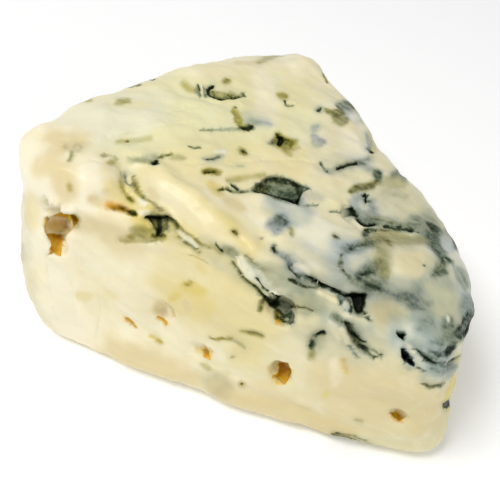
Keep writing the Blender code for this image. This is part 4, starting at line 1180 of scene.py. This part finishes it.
class Paint:
    """What is laid on each skin point."""

    def __init__(self, points):
        count = len(points)
        self.coats = {coat: np.zeros(count) for coat in COATS}
        self.olive = np.zeros(count)
        self.blue = np.full(count, 0.15)
        self.press = np.zeros(count)
        self.ragged = layered(points, (0.8, 1.0, 21), (0.5, 0.45, 22))
        self.waver = layered(points, (0.8, 3.6, 25), (0.5, 1.6, 26))
        self.change = layered(points, (0.7, 2.6, 27), (0.5, 1.1, 28))
        self.patches = smooth_step(-0.5, 0.4, layered(points, (1.0, 0.9, 23), (0.7, 0.45, 24)))

    def lay(self, laid, flat, depth, behind, share):
        """Lay one mark over what is there."""
        mark = laid.mark
        reach = mark.width + max(mark.fade * 1.6, mark.reach * 2.0 if mark.halo else 0.0, 9.0)
        chosen, distance, offset = laid.near(flat, depth, behind, reach)
        if len(chosen):
            share = share[chosen]
            spread = self.broken_edge(mark, chosen, distance, offset)
            full = 1.0 - smooth_step(mark.width, mark.width + mark.fade, spread)
            core = self.broken_core(mark, chosen, mark.strength * full * share)
            past = np.maximum(spread - mark.width, 0.0)
            around = mark.halo * np.exp(-((past / mark.reach) ** 2)) * share
            self.cover(mark, chosen, full, core, 1.0 - (1.0 - core) * (1.0 - around))
            self.press[chosen] += self.depth_of(mark, distance, offset) * share

    def broken_edge(self, mark, chosen, distance, offset):
        """Distances from the mark, made uneven so that its edge wavers."""
        ragged = self.ragged[chosen] * (0.2 if mark.closed else min(0.2 + 0.25 * mark.width, 0.7))
        ragged = ragged / (1.0 + (mark.fade / 4.0) ** 2)
        wavering = 0.25 * max(mark.fade - 1.0, 0.0) * self.waver[chosen]
        return lean(distance, offset, mark.toward) + (ragged + wavering)

    def broken_core(self, mark, chosen, core):
        """The mark's thickness, broken up into specks and uneven patches if it is mould."""
        if mark.coat != "mould":
            return core
        core = core * (1.0 - mark.grain * (1.0 - self.patches[chosen]))
        swing = 0.35 if mark.fade < 5.0 else 0.2
        core = core * (1.0 + swing * self.change[chosen] * (1.0 - mark.strength) * 2.0)
        return np.clip(core, 0.0, 1.0)

    def cover(self, mark, chosen, full, core, cover):
        """Add the mark to its own coat, thin the coats below it, and turn the mould's hue."""
        for coat, laid_on in self.coats.items():
            old = laid_on[chosen]
            if coat == mark.coat:
                laid_on[chosen] = 1.0 - (1.0 - old) * (1.0 - cover)
            elif coat == "mould":
                laid_on[chosen] = old * (1.0 - mark.clear * full)
            elif mark.coat != "mould":
                laid_on[chosen] = old * (1.0 - core)
        if mark.coat == "mould":
            hold = cover / (self.coats["mould"][chosen] + 0.03)
            self.olive[chosen] += (mark.olive - self.olive[chosen]) * hold
            self.blue[chosen] += (mark.blue - self.blue[chosen]) * hold

    def depth_of(self, mark, distance, offset):
        """How deep the mark presses the paste in, in millimetres, less the lip on its crisp side."""
        soft = 1.0 + 0.35 * mark.width
        if mark.closed:
            push = mark.dip * (1.0 - smooth_step(-2.5, 0.6, distance))
        else:
            push = mark.dip * np.exp(-((np.maximum(distance - 0.4 * mark.width, 0.0) / soft) ** 2))
        if mark.lip:
            way = np.array(mark.toward, dtype=float)
            side = -(offset @ way) / np.linalg.norm(way)
            push = push - mark.lip * smooth_step(0.0, 1.6, side) * np.exp(-((distance / 6.0) ** 2))
        return push


def clear_edged(mark):
    """True for a mark whose edge needs a finer mesh."""
    return mark.fade < 4.5 and mark.width < 8.0


def crisp(mark):
    """True for a mark that needs the finest mesh."""
    thin = mark.coat == "mould" and mark.fade < 2.5 and mark.strength > 0.24
    return thin or mark.closed or mark.lip > 0.0


def close_to(marks, skin, pick, margin, tree):
    """True for skin points within a margin of the picked marks."""
    points = points_of(skin)
    found = np.zeros(len(points), dtype=bool)
    for view, laid_marks in marks:
        flat, depth = view.flatten(points)
        behind = hidden_by(points, view, tree)
        for laid in laid_marks:
            if pick(laid.mark):
                found[laid.near(flat, depth, behind, laid.mark.width + margin)[0]] = True
    return found


# ---------------------------------------------------------------------------------------------
# Skin
# ---------------------------------------------------------------------------------------------
def laid_marks_of(tree):
    """The marks of each view that meet the wedge."""
    sides = ((CAMERA_VIEW, MARKS.values()), (BACK_VIEW, BACK_MARKS), (RIND_VIEW, RIND_MARKS),
             (BASE_VIEW, BASE_MARKS))
    marks = []
    for view, side_marks in sides:
        laid_marks = [Laid(mark, view, tree) for mark in side_marks]
        marks.append((view, [laid for laid in laid_marks if laid.sees]))
    return marks


def make_skin():
    """A skin that hugs the solid, finer on the side that the camera sees and finest at the marks."""
    reference = copy_of_solid("reference")
    remesh(reference, REFERENCE_CELL, REFERENCE_EASE)
    skin = copy_of_solid("cheese_skin")
    remesh(skin, SKIN_CELL, SKIN_EASE)
    refine(skin)
    hug(skin, reference)
    tree = BVHTree.FromObject(reference, bpy.context.evaluated_depsgraph_get())
    marks = laid_marks_of(tree)
    toward_camera = ((np.array(CAMERA_VIEW.place) - points_of(skin)) * normals_of(skin)).sum(axis=1)
    refine(skin, toward_camera > 0.0)
    hug(skin, reference)
    for pick, margin in ((clear_edged, CLEAR_MARGIN), (crisp, CRISP_MARGIN)):
        refine(skin, close_to(marks, skin, pick, margin, tree))
        hug(skin, reference)
    bpy.data.objects.remove(reference)
    return skin, marks, tree


def paint_marks(points, normals, marks, tree):
    """Lay all marks on the skin, and find which way the grain runs there."""
    paint = Paint(points)
    drift = np.stack([layered(points, (0.9, 1.4, 3), (0.25, 0.5, 5)),
                      layered(points, (0.9, 1.4, 7), (0.25, 0.5, 9))], axis=1)
    way = np.zeros(points.shape)
    unseen = smooth_step(UNSEEN_FROM, UNSEEN_FULLY, hidden_by(points, CAMERA_VIEW, tree))
    for view, laid_marks in marks:
        flat, depth = view.flatten(points)
        behind = hidden_by(points, view, tree)
        if view is CAMERA_VIEW:
            share = np.ones(len(points))
        else:
            share = unseen * smooth_step(0.2, 0.6, normals @ view.axes[:, 2])
        flow = flow_at(normals, flat, view, flow_map([laid.mark for laid in laid_marks]))
        way += (flow - way) * share[:, None]
        drifted = flat + drift
        for laid in laid_marks:
            paint.lay(laid, drifted, depth, behind, share)
    return paint, way


def store(skin, name, *values):
    """Keep four numbers for each skin point under one name."""
    layer = skin.data.attributes.new(name, "FLOAT_COLOR", "POINT")
    layer.data.foreach_set("color", np.stack(values, axis=1).astype(np.float32).ravel())


def sculpt_and_paint(skin, marks, tree):
    """Press dips, lips, crumb and streaks into the skin, and keep its coats for the finish."""
    points = points_of(skin)
    normals = normals_of(skin)
    paint, way = paint_marks(points, normals, marks, tree)
    coats = paint.coats
    long_streaks = streaks(points, way, 0.9, 3.2, 11)
    fine_streaks = streaks(points, way, 0.3, 1.1, 13)
    middling = smooth_step(0.05, 0.5, coats["mould"]) * smooth_step(1.0, 0.8, coats["mould"])
    mould = np.clip(coats["mould"] + middling * (0.12 * long_streaks + 0.08 * fine_streaks), 0.0, 1.0)
    rough = np.minimum(mould * 2.0, 1.0)
    crumb = layered(points, (0.12, 2.4, 1), (0.04, 0.8, 2))
    crumb += WAVES * streaks(points, way, 2.2, 6.0, 15)
    crumb += (LONG_STREAKS + LONG_ON_MOULD * rough) * long_streaks
    crumb += (FINE_STREAKS + FINE_ON_MOULD * rough) * fine_streaks
    off_base = smooth_step(0.0, 2.0 * MM, points[:, 2])
    points += normals * ((crumb - paint.press) * off_base * MM)[:, None]
    set_points(skin, points)
    spare = np.ones(len(points))
    store(skin, "mould", mould, paint.olive, paint.blue, 0.5 + 0.5 * np.clip(long_streaks, -1, 1))
    store(skin, "tints", coats["cream"], coats["yellow"], coats["tan"], coats["amber"])
    store(skin, "more", coats["lime"], coats["milk"], spare, spare)


# ---------------------------------------------------------------------------------------------
# Finish
# ---------------------------------------------------------------------------------------------
def linear(levels):
    """A colour from its levels on screen."""
    return tuple((level / 255) ** 2.2 for level in levels) + (1.0,)


class Value:
    """A socket of a material, used in sums like a number."""

    def __init__(self, finish, socket):
        self.finish = finish
        self.socket = socket

    def __add__(self, other):
        return self.finish.math("ADD", self, other)

    __radd__ = __add__

    def __sub__(self, other):
        return self.finish.math("SUBTRACT", self, other)

    def __rsub__(self, other):
        return self.finish.math("SUBTRACT", other, self)

    def __mul__(self, other):
        return self.finish.math("MULTIPLY", self, other)

    __rmul__ = __mul__


class Finish:
    """A material under construction."""

    def __init__(self, name):
        self.material = bpy.data.materials.new(name)
        self.material.use_nodes = True
        self.tree = self.material.node_tree
        self.shader = self.tree.nodes["Principled BSDF"]

    def feed(self, socket, value):
        if isinstance(value, Value):
            self.tree.links.new(value.socket, socket)
        else:
            socket.default_value = value

    def node(self, kind, settings=(), inputs=(), output=0):
        made = self.tree.nodes.new(kind)
        for name, value in dict(settings).items():
            setattr(made, name, value)
        for name, value in dict(inputs).items():
            self.feed(made.inputs[name], value)
        return Value(self, made.outputs[output])

    def math(self, operation, first, second=0.0):
        return self.node("ShaderNodeMath", {"operation": operation}, {0: first, 1: second})

    def step(self, low, high, value):
        """0 below low, 1 above high, and smooth between."""
        return self.node("ShaderNodeMapRange", {"interpolation_type": "SMOOTHSTEP"},
                         {"Value": value, "From Min": low, "From Max": high})

    def blend(self, share, under, over, way="MIX"):
        return self.node("ShaderNodeMix", {"data_type": "RGBA", "blend_type": way},
                         {0: share, 6: under, 7: over}, 2)

    def ramp(self, value, places, colours):
        """Colours in order of value."""
        made = self.node("ShaderNodeValToRGB", (), {0: value})
        elements = made.socket.node.color_ramp.elements
        while len(elements) < len(places):
            elements.new(0.5)
        for element, place, colour in zip(elements, places, colours):
            element.position = place
            element.color = linear(colour)
        return made

    def grain(self, where, scale, detail=2.0, roughness=0.5):
        return self.node("ShaderNodeTexNoise", (), {"Vector": where, "Scale": scale, "Detail": detail,
                                                    "Roughness": roughness})

    def kept(self, name):
        """The four numbers kept for each skin point under one name."""
        layer = self.node("ShaderNodeAttribute", {"attribute_name": name}, output="Color")
        parts = self.node("ShaderNodeSeparateColor", (), {0: layer}).socket.node
        return [Value(self, parts.outputs[index]) for index in range(3)] \
            + [Value(self, layer.socket.node.outputs["Alpha"])]

    def set(self, **sockets):
        for name, value in sockets.items():
            self.feed(self.shader.inputs[name.replace("_", " ")], value)


def bare_paste(finish, where, cool_and_shaded, broad, streak):
    """Paste without tints: ivory, greyer toward the rind, partly mould haze and partly painted shade, with
    clouds, patches and streaks.
    """
    patch = finish.grain(where, 170.0)
    paste = finish.blend(cool_and_shaded, linear(IVORY), linear(GREYED_AND_SHADED_IVORY))
    paste = finish.blend(finish.step(0.4, 0.7, broad) * 0.3, paste, linear(CLOUD))
    paste = finish.blend(finish.step(0.52, 0.72, patch) * 0.3, paste, linear(DULL_PATCH))
    paste = finish.blend(finish.step(0.48, 0.3, patch) * 0.3, paste, linear(LIGHT_PATCH))
    paste = finish.blend(finish.step(0.55, 0.9, streak) * 0.25, paste, linear(LIGHT_STREAK))
    return finish.blend(finish.step(0.45, 0.1, streak) * 0.12, paste, linear(DULL_STREAK))


def tinted(finish, paste, middle):
    """The tints that the marks lay on the paste."""
    cream, yellow, tan, amber = finish.kept("tints")
    lime, milk = finish.kept("more")[:2]
    for share, colour in ((lime, LIME), (cream, CREAM), (milk, MILK), (tan, TAN), (yellow, YELLOW)):
        paste = finish.blend(share, paste, linear(colour))
    gold = finish.blend(finish.step(0.4, 0.6, middle), linear(DEEP_GOLD), linear(PALE_GOLD))
    return finish.blend(amber, paste, gold)


def mould_stain(finish, depth, olive_hue, blue_hue, cool_and_shaded):
    """What the mould leaves of the paste's colour, from white to nearly black."""
    plain = finish.ramp(depth, THICKNESS, GREEN_MOULD)
    warm = finish.ramp(depth, THICKNESS, OLIVE_MOULD)
    cold = finish.ramp(depth, THICKNESS, BLUE_MOULD)
    left = (1.0 - cool_and_shaded) * (1.0 - blue_hue) * (1.0 - olive_hue)
    growth = finish.blend(blue_hue, plain, cold)
    return finish.blend(olive_hue * (1.0 - 0.45 * cool_and_shaded) + 0.15 * left, growth, warm)


def paste_finish():
    finish = Finish("blue_cheese_paste")
    where = finish.node("ShaderNodeTexCoord", output="Object")
    mould, olive_hue, blue_hue, streak = finish.kept("mould")
    broad = finish.grain(where, 60.0)
    middle = finish.grain(where, 420.0, 3.0, 0.6)
    fine = finish.grain(where, 1700.0, 2.0, 0.6)
    x = finish.node("ShaderNodeSeparateXYZ", (), {0: where}, "X")
    # The paste turns greyer toward the rind: partly mould haze, partly painted shade
    cool_and_shaded = finish.step(-0.03, 0.055, x + 0.02 * (broad - 0.5))
    paste = tinted(finish, bare_paste(finish, where, cool_and_shaded, broad, streak), middle)
    speck = (middle - 0.5) * 0.9 + (fine - 0.5)
    mottle = finish.step(0.25, 0.6, mould) * finish.step(1.0, 0.8, mould)
    depth = mould + mottle * speck * 0.5
    stain = mould_stain(finish, depth, olive_hue, blue_hue, cool_and_shaded)
    bump = finish.node("ShaderNodeBump", (), {"Strength": 0.3, "Distance": 0.0004,
                                              "Height": 0.5 * middle + 0.3 * fine - 1.2 * mould})
    finish.set(Base_Color=finish.blend(1.0, paste, stain, "MULTIPLY"),
               Roughness=0.42 + 0.25 * (fine - 0.5), Normal=bump,
               Subsurface_Weight=0.3, Subsurface_Radius=(1.0, 0.8, 0.5), Subsurface_Scale=0.0013,
               Specular_IOR_Level=0.1, Coat_Roughness=0.3,
               Coat_Weight=0.3 * (1.0 - finish.step(0.0, 0.3, depth)))
    return finish.material


def floor_finish():
    finish = Finish("pale_floor")
    where = finish.node("ShaderNodeTexCoord", output="Object")
    shade = finish.blend(finish.grain(where, 3.0) * 0.1, linear(WHITE), linear(FLOOR_SHADE))
    finish.set(Base_Color=shade, Roughness=0.9, Emission_Color=linear(WHITE),
               Emission_Strength=FLOOR_GLOW)
    return finish.material


# ---------------------------------------------------------------------------------------------
# Studio
# ---------------------------------------------------------------------------------------------
def make_floor():
    bpy.ops.object.select_all(action="DESELECT")
    bpy.ops.mesh.primitive_plane_add(size=FLOOR_SIZE)
    floor = bpy.context.object
    floor.name = "floor"
    floor.data.transform(Matrix.Translation((0.0, 0.0, -FLOOR_DROP)))
    floor.data.materials.append(floor_finish())


def soft_light(name, place, size, power):
    light = bpy.data.lights.new(name, "AREA")
    light.size = size
    light.energy = power
    lamp = bpy.data.objects.new(name, light)
    lamp.location = place
    lamp.rotation_mode = "QUATERNION"
    lamp.rotation_quaternion = (Vector(LIT_SPOT) - Vector(place)).to_track_quat("-Z", "Y")
    bpy.context.scene.collection.objects.link(lamp)


def make_light():
    world = bpy.data.worlds.new("studio")
    bpy.context.scene.world = world
    world.use_nodes = True
    sky = world.node_tree.nodes["Background"]
    sky.inputs["Color"].default_value = (1.0, 1.0, 1.0, 1.0)
    sky.inputs["Strength"].default_value = SKY_STRENGTH
    soft_light("key", *KEY_LIGHT)
    soft_light("fill", *FILL_LIGHT)


def make_camera():
    lens = bpy.data.cameras.new("camera")
    lens.sensor_width = SENSOR
    lens.lens = FOCAL * SENSOR / PICTURE
    lens.clip_start = 0.01
    camera = bpy.data.objects.new("camera", lens)
    camera.location = CAMERA_VIEW.place
    camera.rotation_mode = "QUATERNION"
    camera.rotation_quaternion = CAMERA_VIEW.turn
    bpy.context.scene.collection.objects.link(camera)
    bpy.context.scene.camera = camera


skin, marks, tree = make_skin()
sculpt_and_paint(skin, marks, tree)
skin.data.shade_smooth()
skin.data.materials.append(paste_finish())
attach(skin, "root")
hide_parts(NODE)
make_floor()
make_light()
make_camera()
bpy.context.scene.view_settings.view_transform = "Standard"
